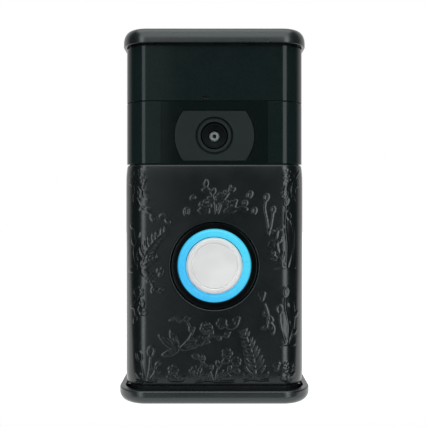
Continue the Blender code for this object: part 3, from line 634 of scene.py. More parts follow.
def terminal_screw(node):
    """A slotted pan head along Y."""
    space = room(node)
    radius, front, back = (space.x1 - space.x0) / 2, space.y0, space.y1
    profile = [(0, back, 0), (radius - 0.4, back, 0.3), (radius, back - 0.6, 0.2), (radius, back - 1.6, 0.1),
               (1.2, back - 1.6, 0.05), (1.2, front, 0.2), (0, front, 0)]
    slot = box(-3, 3, back - 0.75, back + 0.5, -0.35, 0.35)
    made = carved(node, turned(softened(profile, 4), 64), ("DIFFERENCE", slot), bevel=0.05)
    stands_for(about_axis(made, middle(space)), node)


# ---- gloss covers

GLOSS_CORNER, GLOSS_EDGE = 8.2, 0.16
PANE_GAP = 0.08  # between the camera window's sides and its seat
PLATE_GAP = 0.2  # between the camera plate and its opening
SKIN_GAP = 0.3  # between a cover and the housing under it
CORE_CORNER = 6.6
MIC_HEIGHT = 1.3  # of the microphone slot above the cover's lower edge
MIC_HALF_WIDTH, MIC_HALF_HEIGHT, MIC_CORNER = 1.4, 0.3, 0.29


def cover(node, *openings, bevel):
    """A gloss cover that wraps the front and sides of the housing."""
    space = room(node)
    core = room("front_housing")
    outer = prism(rounded(space.x0, space.x1, space.y0, space.y1, GLOSS_CORNER, 0, 32), space.z0, space.z1)
    round_edge(outer, 2, space.z0, GLOSS_EDGE, 4)
    round_edge(outer, 2, space.z1, GLOSS_EDGE, 4)
    gap = SKIN_GAP
    outline = rounded(core.x0 - gap, core.x1 + gap, core.y0 - gap, space.y1 + PAST, CORE_CORNER + gap, 0, 32)
    inner = prism(outline, space.z0 - PAST, space.z1 + PAST)
    cuts = [("DIFFERENCE", opening) for opening in (inner, *openings)]
    stands_for(carved(node, outer, *cuts, bevel=bevel), node, flat=True)


def gloss_covers():
    motion, surround, window = (room(n) for n in ("motion_lens", "camera_surround", "camera_window"))
    core = room("front_housing")
    mic = middle(room("microphone"))
    low = motion.z0 + MIC_HEIGHT - MIC_HALF_HEIGHT
    high = motion.z0 + MIC_HEIGHT + MIC_HALF_HEIGHT
    outline = rounded(mic.x - MIC_HALF_WIDTH, mic.x + MIC_HALF_WIDTH, low, high, MIC_CORNER, MIC_CORNER, 8)
    cover("motion_lens", prism(outline, motion.y0 - 1, core.y0, "Y"), bevel=0.08)
    seat = box(window.x0 - PANE_GAP, window.x1 + PANE_GAP, surround.y0 - 1, window.y1 + 0.1,
               surround.z0 - 1, surround.z1 + 1)
    cover("camera_surround", seat, camera_hole(surround.y0 - 1, core.y0), bevel=0.02)


def camera_hole(low, high):
    """The opening that the camera plate shows through."""
    plate = room("camera_plate")
    radius, half = (plate.x1 - plate.x0) / 2 + PLATE_GAP, (plate.z1 - plate.z0) / 2 + PLATE_GAP
    return moved(prism(truncated_disc(radius, half), low, high, "Y"), 0, 0, middle(plate).z)


def camera_front():
    window = room("camera_window")
    pane = prism(rounded(window.x0, window.x1, window.z0, window.z1), window.y0, window.y1, "Y")
    hole = camera_hole(window.y0 - 1, window.y1 + 1)
    stands_for(carved("camera_window", pane, ("DIFFERENCE", hole), bevel=0.03), "camera_window", flat=True)
    plate = room("camera_plate")
    front, back = plate.y0, plate.y1
    disc = truncated_disc((plate.x1 - plate.x0) / 2, (plate.z1 - plate.z0) / 2, 48)
    mouth = turned(softened([(0, front - 1, 0), (5.0, front - 1, 0), (4.75, front + 0.4, 0.2),
                             (4.75, back + 1, 0), (0, back + 1, 0)]), 96)
    groove = turned([(5.8, back - 0.3), (5.8, front - 1), (6.6, front - 1), (6.6, back - 0.3)], 128)
    made = carved("camera_plate", prism(disc, front, back, "Y"), ("DIFFERENCE", mouth),
                  ("DIFFERENCE", groove), bevel=0.04)
    stands_for(about_axis(made, middle(plate)), "camera_plate", flat=True)


BARREL_RADIUS = 6.0
MOUTH_INNER, MOUTH_OUTER, MOUTH_DEPTH = 2.1, 3.9, 1.55
BAFFLES = 6  # fine rings inside the cone of the mouth
THREAD_PITCH, THREAD_TURNS, THREAD_ROOT = 0.5, 15, 5.75
ELEMENT_RADIUS = 1.8


def lens():
    barrel = room("lens_barrel")
    spot = middle(barrel)
    front, back = barrel.y0, barrel.y1
    steps = [(MOUTH_OUTER, front, 0.15), (4.4, front + 0.1, 0.1), (4.4, front + 3.0, 0),
             (BARREL_RADIUS, front + 3.3, 0.2)]
    for k in range(THREAD_TURNS):
        y = front + 4.0 + THREAD_PITCH * k
        steps += [(THREAD_ROOT, y, 0), (BARREL_RADIUS, y + THREAD_PITCH * 0.5, 0)]
    steps += [(BARREL_RADIUS, back, 0.1), (4.6, back, 0), (MOUTH_INNER, back - 2.4, 0)]
    mouth = [(MOUTH_INNER, front + MOUTH_DEPTH)]
    for k in range(BAFFLES):
        t = (k + 0.5) / BAFFLES
        radius, y = MOUTH_INNER + (MOUTH_OUTER - MOUTH_INNER) * t, front + MOUTH_DEPTH * (1 - t)
        mouth += [(radius, y + 0.10), (radius + 0.06, y - 0.06)]
    spun("lens_barrel", softened(steps, 3) + mouth, spot, 96)
    ring = room("lens_retainer")
    profile = [(0.7, ring.y0, 0.12), (1.45, ring.y0, 0.15), (ELEMENT_RADIUS, ring.y1, 0), (0.7, ring.y1, 0)]
    spun("lens_retainer", softened(profile, 5), spot, 64)
    glass = room("front_lens")
    dome = [(ELEMENT_RADIUS * math.sin(t), glass.y0 + 0.9 * (1 - math.cos(t)))
            for t in np.linspace(0, math.pi / 2, 14)]
    spun("front_lens", dome + [(ELEMENT_RADIUS, glass.y1), (0, glass.y1)], spot, 64)


# ---- faceplate with raised sprigs

FACE_CORNER = 8.4
FACE_STEP = 0.285
FACE_EDGE = 0.4  # radius of its rounded borders
TOP_CROWN, TOP_REACH = 0.45, 6.0  # how far the front falls back at its top edge, and over what height
FOOT_CROWN, FOOT_REACH = 0.40, 5.0  # the same at its bottom edge
SIDE_MIDDLE = 44.8  # along the surface, from the middle of the front to the middle of a side
LINE_HEIGHT, LINE_HALF_TOP, LINE_HALF_BASE = 0.145, 0.05, 0.38  # of the raised lines
HOLE = 15.3  # radius of the hole round the button
HOLE_LIP = 0.35
FADE_SIDE, FADE_BORDER, FADE_HOLE = (0.8, 0.6), (0.7, 0.6), (0.6, 0.5)  # a plain strip, then the fade
MOST_INSET = 1.2
FACE_GAP = 0.35  # between the plate's inner borders and the housing under it


def spline(points, per_span=6):
    """A Catmull-Rom curve through the points."""
    ends = [points[0], *points, points[-1]]
    made = []
    for i in range(1, len(ends) - 2):
        a, b, c, d = (np.array(ends[i + k], float) for k in (-1, 0, 1, 2))
        for t in np.arange(per_span) / per_span:
            made.append(0.5 * (2 * b + (c - a) * t + (2 * a - 5 * b + 4 * c - d) * t**2
                               + (3 * b - a - 3 * c + d) * t**3))
    return np.array([*made, points[-1]])


def leaning(base, angle, along, across):
    """The point along a direction and across it, from a base. Angles are in degrees from the right."""
    a = math.radians(angle)
    return (base[0] + along * math.cos(a) - across * math.sin(a),
            base[1] + along * math.sin(a) + across * math.cos(a))


def leaf(base, angle, length, width, vein=True):
    """A pointed leaf outline, with a midrib."""
    shape = [(0.0, 0.0), (0.25, 0.38), (0.55, 0.5), (0.82, 0.26), (1.0, 0.0)]
    strokes = [spline([leaning(base, angle, length * t, side * width * w) for t, w in shape], 4)
               for side in (-1, 1)]
    if vein:
        strokes.append(np.array([leaning(base, angle, length * t, 0) for t in (0.0, 0.4, 0.75)]))
    return strokes


def ring(centre, radius, points=10, squash=1.0, angle=0.0):
    """A small closed loop."""
    turns = np.linspace(0, math.tau, points + 1)
    across = radius * squash
    return [np.array([leaning(centre, angle, radius * math.cos(t), across * math.sin(t)) for t in turns])]


def blossom(centre, radius, petals=5, turn=0.0):
    """Round petals about a small heart."""
    strokes = ring(centre, radius * 0.26, 8)
    tips = [(0.0, 0.0), (0.30, 0.27), (0.62, 0.27), (0.70, 0.0), (0.62, -0.27), (0.30, -0.27), (0.0, 0.0)]
    for k in range(petals):
        angle = turn + 360 * k / petals
        heart = leaning(centre, angle, radius * 0.30, 0)
        strokes.append(spline([leaning(heart, angle, radius * t, radius * w) for t, w in tips], 3))
    return strokes


def stalk(points, leaves=(), size=2.6, bend=48):
    """A curved stem with leaves at given shares of its length, on alternating sides."""
    line = spline(points, 8)
    strokes = [line]
    for k, share in enumerate(leaves):
        i = min(len(line) - 2, int(share * (len(line) - 1)))
        run = line[i + 1] - line[i]
        angle = math.degrees(math.atan2(run[1], run[0])) + (bend if k % 2 else -bend)
        strokes += leaf(tuple(line[i]), angle, size, size * 0.42, size > 2.2)
    return strokes


def fern(points, pairs=7, longest=4.0, bend=50):
    """A frond: a stem with paired blades that shrink towards the tip."""
    line = spline(points, 8)
    strokes = [line]
    for k in range(pairs):
        share = 0.12 + 0.82 * k / (pairs - 1)
        i = min(len(line) - 2, int(share * (len(line) - 1)))
        run = line[i + 1] - line[i]
        angle = math.degrees(math.atan2(run[1], run[0]))
        length = longest * (1 - 0.72 * share)
        for side in (-1, 1):
            tips = [(0.0, 0.0), (0.5, side * 0.10), (1.0, side * -0.02)]
            turn = angle + side * bend
            blade = [leaning(tuple(line[i]), turn, length * t, length * w) for t, w in tips]
            strokes.append(spline(blade, 4))
    return strokes


def bud_stem(points, radius=1.0):
    """A stem that ends in an egg-shaped bud."""
    line = spline(points, 8)
    run = line[-1] - line[-2]
    angle = math.degrees(math.atan2(run[1], run[0]))
    return [line] + ring(leaning(tuple(line[-1]), angle, radius * 1.25, 0), radius * 1.25, 12, 0.62, angle)


def berries(centre, spread, count=5, radius=0.5):
    """A loose group of small round berries."""
    strokes = []
    for k in range(count):
        angle, reach = 137.5 * k, spread * math.sqrt((k + 0.4) / count)
        strokes += ring(leaning(centre, angle, reach, 0), radius, 8)
    return strokes


def ground(x0, x1, z):
    """A short uneven line of soil under a plant."""
    span = x1 - x0
    rises = ((0, -0.25), (0.3, 0.25), (0.65, -0.15), (1, 0.1))
    return [spline([(x0 + span * share, z + rise) for share, rise in rises])]


def front_sprigs():
    """The garden on the front and corners. The first coordinate runs along the surface."""
    return (
        blossom((-26.2, 14.4), 2, 5, 20) + blossom((-29.4, 12.2), 1.5, 5, 60)
        + berries((-25.2, 11.2), 1.6, 4, 0.45) + leaf((-27.6, 10.6), -70, 4.2, 1.7)
        + leaf((-27, 8.6), -110, 3.8, 1.6) + leaf((-24.6, 8.8), -62, 3.4, 1.4)
        + stalk([(-28.5, 12.5), (-27, 6), (-24, 2.2), (-19.5, -0.5), (-16.5, -0.8)],
                (0.35, 0.5, 0.65, 0.8, 0.95), 2.3)
        + blossom((25.8, 14), 2.1, 5, 0) + blossom((29.2, 11.6), 1.6, 5, 40)
        + berries((24.6, 10.6), 1.4, 4, 0.42)
        + stalk([(31.5, 16), (29, 13.4), (27, 9), (28.4, 5.2)], (0.4, 0.62, 0.85), 2.2)
        # the spray over the button
        + stalk([(0.6, 0.8), (0.2, 4.5), (-1.2, 8.2), (-3.6, 11)], (0.3, 0.45, 0.6, 0.75, 0.9), 2.4)
        + stalk([(1.2, 0.9), (2.6, 4.6), (4.8, 7.8), (5.6, 10.6)], (0.35, 0.55, 0.75), 2.2)
        + blossom((-3.2, 3.4), 2, 5, 10) + blossom((2.2, 6.4), 1.5, 5, 30)
        + berries((6.6, 4.2), 1.5, 5, 0.42) + leaf((3.4, 1.6), 12, 4.6, 1.7)
        + leaf((-1.8, 1.2), 168, 3.8, 1.6) + leaf((7.8, 2.6), -4, 3.6, 1.3)
        + ring((-9.6, 1.6), 1.3, 12, 0.62, 80) + ring((12.2, 7.4), 1.2, 12, 0.6, 60)
        + ring((13.8, 1.8), 1.1, 12, 0.6, 75) + ring((10.6, 4.6), 0.7, 10)
        + ring((-7.4, 6.4), 0.8, 10, 0.7, 30)
        + bud_stem([(18.8, -6.4), (18.2, -1.8), (17.4, 2.6), (17.8, 5.4)], 0.9)
        + bud_stem([(18.8, -6.4), (19.8, -2.2), (20.2, 1.2)], 0.8)
        # tall plants at the right
        + bud_stem([(25, -17.6), (25.2, -10), (24.6, -3), (25, 3.6)], 1.4)
        + bud_stem([(26.2, -17.6), (27.6, -12), (27.9, -6), (26.6, -1.2)], 1.2)
        + stalk([(23.6, -17.4), (22.4, -13.2), (21.6, -8), (22.2, -4)], (0.25, 0.42, 0.6, 0.78, 0.94), 2.4)
        + stalk([(25, -17.4), (23.2, -15.4), (20.4, -13.6)], (0.5, 0.75, 0.97), 2)
        + blossom((24.6, 7.6), 1.5, 5, 15) + blossom((20.2, -9.8), 1.3, 5, 50) + ground(20.6, 28.6, -18)
        # the large frond and its clump at the left
        + fern([(-26.2, -17.6), (-23.8, -12.6), (-20.6, -8.4), (-16.4, -4.8)], 9, 4.6)
        + fern([(-26, -17.8), (-23, -15.6), (-19.8, -14.4)], 6, 2.8)
        + stalk([(-27, -17.8), (-28.4, -12.8), (-27.6, -7.6), (-28.6, -2.6)], (0.3, 0.5, 0.7, 0.9), 2.3)
        + leaf((-26.8, -17.8), 200, 4.4, 1.7) + leaf((-25.6, -18.6), -40, 4, 1.5)
        + blossom((-22.2, -21.6), 1.5, 6) + berries((-18.8, -19.4), 1.3, 4, 0.42)
        + stalk([(-22.2, -22.6), (-20.6, -25.2), (-18.2, -26.6)], (0.4, 0.75), 2)
        # small clusters down the left corner
        + blossom((-26.4, -26.4), 1.7, 5, 36) + leaf((-25.8, -28.4), -75, 3.6, 1.5)
        + berries((-27.4, -31.4), 1.5, 5, 0.45)
        + stalk([(-26.6, -28), (-28.2, -31.4), (-27.2, -35.6)], (0.45, 0.72, 0.96), 2.1)
        + ring((-24.4, -33.4), 0.8, 10)
        # the pair of flowers at the lower left
        + bud_stem([(-24.6, -57), (-25, -53.6), (-25.8, -50.2)], 1.3)
        + bud_stem([(-23.2, -57), (-22.4, -52.8), (-22, -48.6)], 1.4)
        + stalk([(-22.8, -57), (-20.8, -54.4), (-20.2, -51.4)], (0.5, 0.72, 0.95), 2)
        + ground(-27.6, -20, -57.2) + leaf((-24.4, -56.4), 150, 3.4, 1.3)
        # the long leaves left of the middle
        + leaf((-12.8, -46.2), 142, 8, 2.2) + leaf((-12.6, -46), 112, 6.8, 1.9)
        + leaf((-12, -46), 18, 6.6, 1.9) + leaf((-12.6, -46.6), 196, 5.6, 1.6)
        + stalk([(-12.2, -46), (-8.8, -42.6), (-6.8, -38.6)], (0.5, 0.8), 2.2)
        + stalk([(-15.4, -36.2), (-12.6, -35.2), (-9.8, -36.2), (-8.4, -38.4)], (0.3, 0.6), 1.9)
        # flowers under the button
        + blossom((-2.8, -38.8), 1.9, 6, 12) + blossom((2.6, -37.2), 1.6, 5, 40)
        + blossom((-5, -43.2), 1.4, 5)
        + stalk([(-7, -45.6), (-3.4, -42.8), (0.6, -41.2), (4.8, -41.8)], (0.3, 0.5, 0.7, 0.9), 2.2)
        + leaf((4.4, -38.6), 8, 3.2, 1.2) + berries((7.6, -36.4), 1.2, 4, 0.4)
        # bottom clump in the middle
        + stalk([(-0.6, -57), (-1.8, -53.2), (-4.4, -50.2), (-6, -47.8)], (0.3, 0.48, 0.66, 0.84), 2.2)
        + stalk([(0.4, -57), (1.4, -52.8), (3.6, -49.4)], (0.35, 0.6, 0.85), 2.3)
        + stalk([(1, -57), (4.2, -54.4), (7.2, -52.8)], (0.4, 0.65, 0.92), 2.1)
        + blossom((4.4, -47.6), 1.6, 5) + blossom((7.6, -50.4), 1.4, 5, 22) + blossom((-3.2, -54.2), 1.4, 6)
        + berries((-6.6, -53.4), 1.5, 5, 0.42) + ground(-6.4, 6.8, -57.3)
        + leaf((-1.4, -56.8), 160, 3.8, 1.4) + blossom((-14.2, -53.4), 1.6, 5, 8)
        + stalk([(-13.2, -57), (-13.8, -55.4), (-14, -54.8)], (), 2)
        + leaf((-13.2, -57), 20, 3.4, 1.3) + leaf((-13.4, -57), 155, 3.2, 1.3)
        # the upright frond at the right
        + fern([(14.2, -56.4), (13.8, -50.8), (12.2, -45.2), (10, -39.6)], 9, 5.2, 46)
        + ground(10.4, 19, -56.8) + leaf((14.8, -56.2), 28, 4.2, 1.4) + leaf((13.6, -56.2), 152, 3.8, 1.4)
        # stems down the right corner
        + bud_stem([(25.4, -44.4), (25.8, -38), (24.6, -31.8), (24.8, -28.2)], 1.5)
        + bud_stem([(25, -44.4), (23, -38.4), (22.6, -33.8)], 1.2)
        + stalk([(26, -44.4), (27.6, -39.6), (28.2, -34.4), (27.6, -29.8)], (0.25, 0.45, 0.65, 0.85), 2.3)
        + ground(22.8, 28.4, -44.8)
        + stalk([(17.4, -30.4), (18.6, -34.2), (18.2, -38.6)], (0.35, 0.6, 0.88), 2.2)
        + leaf((20.2, -40.8), 100, 4, 1.5) + berries((16.4, -27.8), 1.2, 4, 0.42)
        + blossom((25.6, -52.4), 1.9, 5, 30)
        + stalk([(25.6, -57), (26.2, -55.4), (25.8, -54.6)], (0.4,), 2.4)
        + leaf((25.4, -57), 150, 3.4, 1.3) + berries((21.4, -52), 1.2, 4, 0.42)
    )


def side_sprigs(side):
    """The plants on one flat side, drawn from its middle. The front's pattern runs on to them."""
    tall = stalk([(-5.5, 0), (-4, 5), (-6, 10), (-4.4, 14.4)], (0.2, 0.36, 0.52, 0.68, 0.84), 2.6)
    tall += bud_stem([(0.4, 0), (1.4, 4.6), (0.4, 10)], 1.4) + blossom((-4.2, 15.8), 1.6, 5, 30)
    tall += fern([(5.4, 0.4), (4.6, 6), (6.2, 11.6)], 6, 3) + blossom((2.8, 14.6), 1.5, 5, 10)
    tall += berries((-0.6, 14.4), 1.1, 4, 0.42) + ground(-7, 2.4, -0.4)
    low = fern([(-4.6, 0), (-3, 4.4), (-4.8, 9.4)], 7, 3.4) + leaf((2, 0.2), 26, 4.4, 1.6)
    low += stalk([(1, 0), (2.4, 3.8), (1, 8.4)], (0.3, 0.5, 0.7, 0.9), 2.4) + blossom((1, 10.4), 1.8, 6)
    low += blossom((5.8, 6.4), 1.4, 5, 20) + ring((-2.4, 11.6), 0.9, 10, 0.7, 40)
    low += berries((5.6, 10.4), 1.2, 4, 0.42) + ground(-1, 7, -0.4)
    few = blossom((3.6, 0), 1.9, 5, 15) + leaf((-0.2, -1), 140, 3.6, 1.4) + berries((-3.8, 1.6), 1.3, 4, 0.42)
    drawn = []
    plants = ((tall, -57.2, 1), (low, -38, 1), (tall, -23.2, -1), (low, -3.8, -1), (few, 13.4, 1))
    for plant, z, turn in plants:
        drawn += [stroke * np.array((turn, 1)) + np.array((SIDE_MIDDLE, z)) for stroke in plant]
    return [stroke * np.array((side, 1)) for stroke in drawn]


def ridge_heights(u, z, strokes):
    """The height of the raised lines over a grid of u columns and z rows."""
    heights = np.zeros((len(u), len(z)))
    reach = LINE_HALF_BASE
    for stroke in strokes:
        for a, b in zip(stroke[:-1], stroke[1:]):
            low, high = np.minimum(a, b) - reach, np.maximum(a, b) + reach
            i0, i1 = np.searchsorted(u, (low[0], high[0]))
            j0, j1 = np.searchsorted(z, (low[1], high[1]))
            if i0 == i1 or j0 == j1:
                continue
            du, dz = u[i0:i1, None] - a[0], z[None, j0:j1] - a[1]
            run = b - a
            share = np.clip((du * run[0] + dz * run[1]) / max(run @ run, 1e-9), 0, 1)
            away = np.hypot(du - share * run[0], dz - share * run[1])
            t = np.clip((reach - away) / (reach - LINE_HALF_TOP), 0, 1)
            heights[i0:i1, j0:j1] = np.maximum(heights[i0:i1, j0:j1], t * t * (3 - 2 * t))
    return heights * LINE_HEIGHT


def rolled_in(distance):
    """How far the surface falls back at this distance from a rounded border."""
    missing = np.clip(FACE_EDGE - distance, 0, None)
    return FACE_EDGE - np.sqrt(np.maximum(FACE_EDGE**2 - missing**2, 0))


def fade(distance, start, reach):
    """Rises from 0 at the start to 1 where the reach ends."""
    return np.clip((distance - start) / reach, 0, 1)


def faceplate():
    space = room("faceplate")
    spot = middle(room("light_ring"))
    straight = space.x1 - FACE_CORNER
    bend = FACE_CORNER * math.pi / 2
    half_length = straight + bend + space.y1 - (space.y0 + FACE_CORNER)
    columns = int(2 * half_length / FACE_STEP) // 2 * 2
    rows = int((space.z1 - space.z0) / FACE_STEP)
    u = np.linspace(-half_length, half_length, columns + 1)
    z = np.linspace(space.z0, space.z1, rows + 1)
    above_foot, under_top, from_side = z - space.z0, space.z1 - z, half_length - np.abs(u)
    border = np.minimum(above_foot, under_top)
    away = np.hypot(u[:, None] - spot.x, z[None, :] - spot.z)

    # the lines fade out before the borders and the hole
    heights = ridge_heights(u, z, front_sprigs() + side_sprigs(-1) + side_sprigs(1))
    heights *= fade(from_side, *FADE_SIDE)[:, None] * fade(border, *FADE_BORDER)[None, :]
    heights *= fade(away - HOLE, *FADE_HOLE)

    # borders roll in towards the case, and the front falls back a little near its top and bottom
    crown = TOP_CROWN * np.clip(1 - under_top / TOP_REACH, 0, 1) ** 2
    crown += FOOT_CROWN * np.clip(1 - above_foot / FOOT_REACH, 0, 1) ** 2
    fallen = (crown + rolled_in(border))[None, :] + rolled_in(from_side)[:, None]
    inset = np.minimum(fallen, MOST_INSET) - heights

    turn = np.clip((np.abs(u) - straight) / FACE_CORNER, 0, math.pi / 2)
    past = np.clip(np.abs(u) - straight - bend, 0, None)
    side = np.sign(u)
    base_x = np.where(np.abs(u) < straight, u, side * (straight + FACE_CORNER * np.sin(turn)))
    base_y = space.y0 + FACE_CORNER * (1 - np.cos(turn)) + past
    x = base_x[:, None] - (side * np.sin(turn))[:, None] * inset
    y = base_y[:, None] + np.cos(turn)[:, None] * inset
    points = np.stack([x, y, np.broadcast_to(z, x.shape)], axis=-1).reshape(-1, 3)

    index = np.arange(len(points)).reshape(x.shape)
    corners = [index[:-1, :-1], index[1:, :-1], index[1:, 1:], index[:-1, 1:]]
    quads = np.stack(corners, axis=-1).reshape(-1, 4)
    lip = HOLE + HOLE_LIP
    outside = away.reshape(-1) > lip
    quads = quads[outside[quads].all(axis=1)]
    mesh = bpy.data.meshes.new("grid")
    mesh.from_pydata(points.tolist(), [], quads.tolist())
    shape = bmesh.new()
    shape.from_mesh(mesh)
    bpy.data.meshes.remove(mesh)
    bmesh.ops.delete(shape, geom=[v for v in shape.verts if not v.link_faces], context="VERTS")
    finish_faceplate(shape, space.y0, spot, lip)
    stands_for(as_object("faceplate", shape), "faceplate", sharp=50)


def finish_faceplate(shape, level, spot, lip):
    """Rounds the hole, turns its rim and the borders in, and lines the plate's inner side."""
    open_edges = [e for e in shape.edges if e.is_boundary]
    around = [e for e in open_edges if max(radial(v, spot) for v in e.verts) < lip + 1.5]
    for vert in {v for e in around for v in e.verts}:
        set_radial(vert, spot, lip)
    loop = around
    turn_in = ((lip - 0.10, 0.02), (lip - 0.22, 0.10), (HOLE + 0.02, 0.26), (HOLE, 0.38), (HOLE, 1.6))
    for radius, depth in turn_in:
        verts, loop = pulled(shape, loop)
        for vert in verts:
            set_radial(vert, spot, radius)
            vert.co.y = level + depth
    verts, _ = pulled(shape, [e for e in open_edges if e not in around])
    core = room("front_housing")
    low, high, front = core.x0 - FACE_GAP, core.x1 + FACE_GAP, core.y0 - FACE_GAP
    for vert in verts:
        vert.co.x = max(low, min(high, vert.co.x))
        vert.co.y = max(front, vert.co.y)
    bmesh.ops.recalc_face_normals(shape, faces=shape.faces)


def pulled(shape, edges):
    """Extrudes the edges, and returns the new vertices and the new open edges."""
    swept = bmesh.ops.extrude_edge_only(shape, edges=edges)["geom"]
    verts = {g for g in swept if isinstance(g, bmesh.types.BMVert)}
    return verts, [g for g in swept if isinstance(g, bmesh.types.BMEdge) and g.is_boundary]


def radial(vert, centre):
    return math.hypot(vert.co.x - centre.x, vert.co.z - centre.z)


def set_radial(vert, centre, radius):
    away = Vector((vert.co.x - centre.x, 0, vert.co.z - centre.z))
    away.normalize()
    vert.co.x, vert.co.z = centre.x + away.x * radius, centre.z + away.z * radius


# ---- button

BEZEL_INNER, BEZEL_OUTER, BEZEL_FLANGE = 12.85, 15.0, 17.0
LIGHT_INNER, LIGHT_OUTER, LIGHT_FLANGE = 10.15, 12.55, 16.0
FLANGE = 0.8  # thickness of both flanges
CAP_RADIUS, CAP_INSIDE, STEM_SOCKET, STEM_HOLE = 9.85, 8.6, 3.6, 2.6
CAP_HOLLOW = 3.0  # depth behind the cap's rim


def button():
    spot = middle(room("button_cap"))
    bezel = room("button_bezel")
    back, front = bezel.y1, bezel.y0
    inner, outer, flange = BEZEL_INNER, BEZEL_OUTER, BEZEL_FLANGE
    profile = [(inner, back, 0), (flange, back, 0), (flange, back - FLANGE, 0), (outer, back - FLANGE, 0.2),
               (outer, front, 0.3), (inner, front, 0.3)]
    spun("button_bezel", softened(profile, 6), spot, 160)

    light = room("light_ring")
    back, front = light.y1, light.y0
    inner, outer, flange = LIGHT_INNER, LIGHT_OUTER, LIGHT_FLANGE
    profile = [(inner, back, 0), (flange, back, 0), (flange, back - FLANGE, 0), (outer, back - FLANGE, 0.2),
               (outer, front + 0.35, 0.3), (12.1, front, 0.5), (10.7, front, 0.5), (inner, front + 0.4, 0.3)]
    spun("light_ring", softened(profile, 8), spot, 160)

    cap = room("button_cap")
    front, back = cap.y0, cap.y1
    hollow = back - CAP_HOLLOW
    profile = [(0, front + 0.02, 0), (4.0, front + 0.03, 0), (7.55, front + 0.10, 0.06),
               (7.68, front + 0.30, 0.08), (7.92, front + 0.30, 0.08), (8.05, front + 0.12, 0.06),
               (9.3, front + 0.30, 0.6), (CAP_RADIUS, front + 1.2, 0.5), (CAP_RADIUS, back, 0.15),
               (CAP_INSIDE, back, 0.15), (CAP_INSIDE, hollow, 0.2), (STEM_SOCKET, hollow, 0.2),
               (STEM_SOCKET, back - 1.2, 0.1), (STEM_HOLE, back - 1.2, 0.1), (STEM_HOLE, hollow, 0),
               (0, hollow, 0)]
    spun("button_cap", softened(profile, 6), spot, 160, body="button")


SPRING_TURNS = 5
SPRING_WIRE = 0.34  # radius of the wire
SPRING_COIL = 4.68  # radius of the coil, to the middle of the wire
SPRING_SIDES = 10  # of the wire's section
SPRING_FLAT = 0.6  # turns that lie flat at each end


def button_spring():
    """The coil spring behind the cap. It shortens towards its seat as the cap is pressed."""
    space = room("button_spring")
    per_turn = 40
    front, back = space.y0 + SPRING_WIRE, space.y1 - SPRING_WIRE
    rings = []
    for step in range(SPRING_TURNS * per_turn + 1):
        turns = step / per_turn
        share = min(max((turns - SPRING_FLAT) / (SPRING_TURNS - 2 * SPRING_FLAT), 0), 1)
        depth = front + (back - front) * share
        around = math.tau * turns
        section = []
        for k in range(SPRING_SIDES):
            lean = math.tau * k / SPRING_SIDES
            radius = SPRING_COIL + SPRING_WIRE * math.cos(lean)
            section.append((radius * math.cos(around), depth + SPRING_WIRE * math.sin(lean),
                            radius * math.sin(around)))
        rings.append(section)
    made = about_axis(as_object("button_spring", lofted(rings)), middle(room("button_cap")))
    stands_for(made, "button_spring", sharp=60)
    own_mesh(made)


# ---- camera, light and floor

CAMERA_PLACE = (-0.0003, -0.241, 0.0009)  # metres
CAMERA_LENS, CAMERA_SENSOR = 51.1, 36.0  # millimetres


def camera():
    data = bpy.data.cameras.new("camera")
    data.lens, data.sensor_width = CAMERA_LENS, CAMERA_SENSOR
    data.clip_start = 0.01
    made = bpy.data.objects.new("camera", data)
    made.location = CAMERA_PLACE
    made.rotation_euler = (math.radians(90), 0, 0)
    SCENE.collection.objects.link(made)
    SCENE.camera = made


LAMP_TINT = (0.93, 1.0, 1.0)  # a little cyan, as in the gloss of the covers


def softbox(name, azimuth, elevation, distance, width, height, radiance):
    """A nearly white area light that faces the middle of the object. Azimuth 0 is in front."""
    data = bpy.data.lights.new(name, "AREA")
    data.shape = "RECTANGLE"
    data.size, data.size_y = width, height
    data.energy = radiance * width * height * math.pi
    data.color = LAMP_TINT
    made = bpy.data.objects.new(name, data)
    a, e = math.radians(azimuth), math.radians(elevation)
    back = Vector((math.sin(a) * math.cos(e), -math.cos(a) * math.cos(e), math.sin(e)))
    made.location = back * distance
    made.rotation_mode = "QUATERNION"
    made.rotation_quaternion = (-back).to_track_quat("-Z", "Y")
    made.visible_camera = False
    SCENE.collection.objects.link(made)


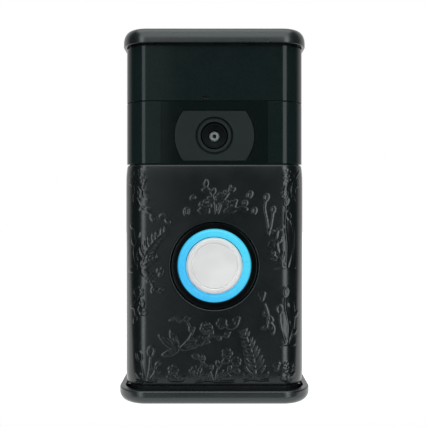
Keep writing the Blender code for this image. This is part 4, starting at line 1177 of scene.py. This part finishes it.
def surroundings():
    """White to the eye all round, bright behind the object and dim in front of it."""
    world = bpy.data.worlds.new("studio")
    SCENE.world = world
    world.use_nodes = True
    tree, white = world.node_tree, (1, 1, 1, 1)
    depth = wired(tree, "SeparateXYZ", {0: wired(tree, "TexCoord", {}, "Generated")}, "Y")
    inputs = {**limits(0.05, 0.9, -0.05, 0.45), "Value": depth}
    strength = wired(tree, "MapRange", inputs, "Result", interpolation_type="SMOOTHSTEP")
    shade = wired(tree, "Background", {"Color": white, "Strength": strength}, 0)
    plain = wired(tree, "Background", {"Color": white}, 0)
    seen = wired(tree, "LightPath", {}, "Is Camera Ray")
    feed(tree, tree.nodes["World Output"].inputs["Surface"],
         wired(tree, "MixShader", {0: seen, 1: shade, 2: plain}, 0))


FLOOR_RADIUS = 1000.0
FLOOR_DROP = 0.0004  # metres from the object's foot down to the floor
FLOOR_FRONT = 0.040  # metres from the wall's plane to the floor's front edge


def floor():
    """A plain pale floor, bright enough to leave no shadow."""
    look = bpy.data.materials.new("floor")
    look.use_nodes = True
    shader = look.node_tree.nodes["Principled BSDF"]
    shader.inputs["Base Color"].default_value = (0.5, 0.5, 0.5, 1)
    shader.inputs["Roughness"].default_value = 0.9
    shader.inputs["Emission Color"].default_value = (1, 1, 1, 1)
    shader.inputs["Emission Strength"].default_value = 1.0
    made = as_object("floor", prism(arc(0, 0, FLOOR_RADIUS, 0, 360, 96)[:-1], -2.0, 0))
    made.location = (0, FLOOR_RADIUS * MM - FLOOR_FRONT, cad_low.z - FLOOR_DROP)
    made.data.materials.append(look)


def studio():
    surroundings()
    softbox("left_strip", -27, 2, 0.60, 0.15, 0.56, 3.2)
    softbox("right_strip", 25.5, 2, 0.60, 0.18, 0.56, 3.6)
    softbox("left_fill", -13, 4, 0.62, 0.16, 0.50, 0.45)
    softbox("top_box", 0, 42, 0.60, 0.70, 0.36, 2.0)
    softbox("overhead", 0, 78, 0.60, 0.70, 0.36, 2.2)
    softbox("low_fill", 0, -32, 0.60, 0.50, 0.12, 1.0)
    floor()
    SCENE.view_settings.view_transform = "Standard"


# ---- the whole

dress_carried_nodes()
top_cap()
holder_frame()
for side in SIDES:
    cross_screw(f"cap_screw_{side}")
    cross_screw(f"lock_screw_{side}")
    terminal_screw(f"terminal_screw_{side}")
gloss_covers()
camera_front()
lens()
faceplate()
button()
button_spring()
camera()
studio()
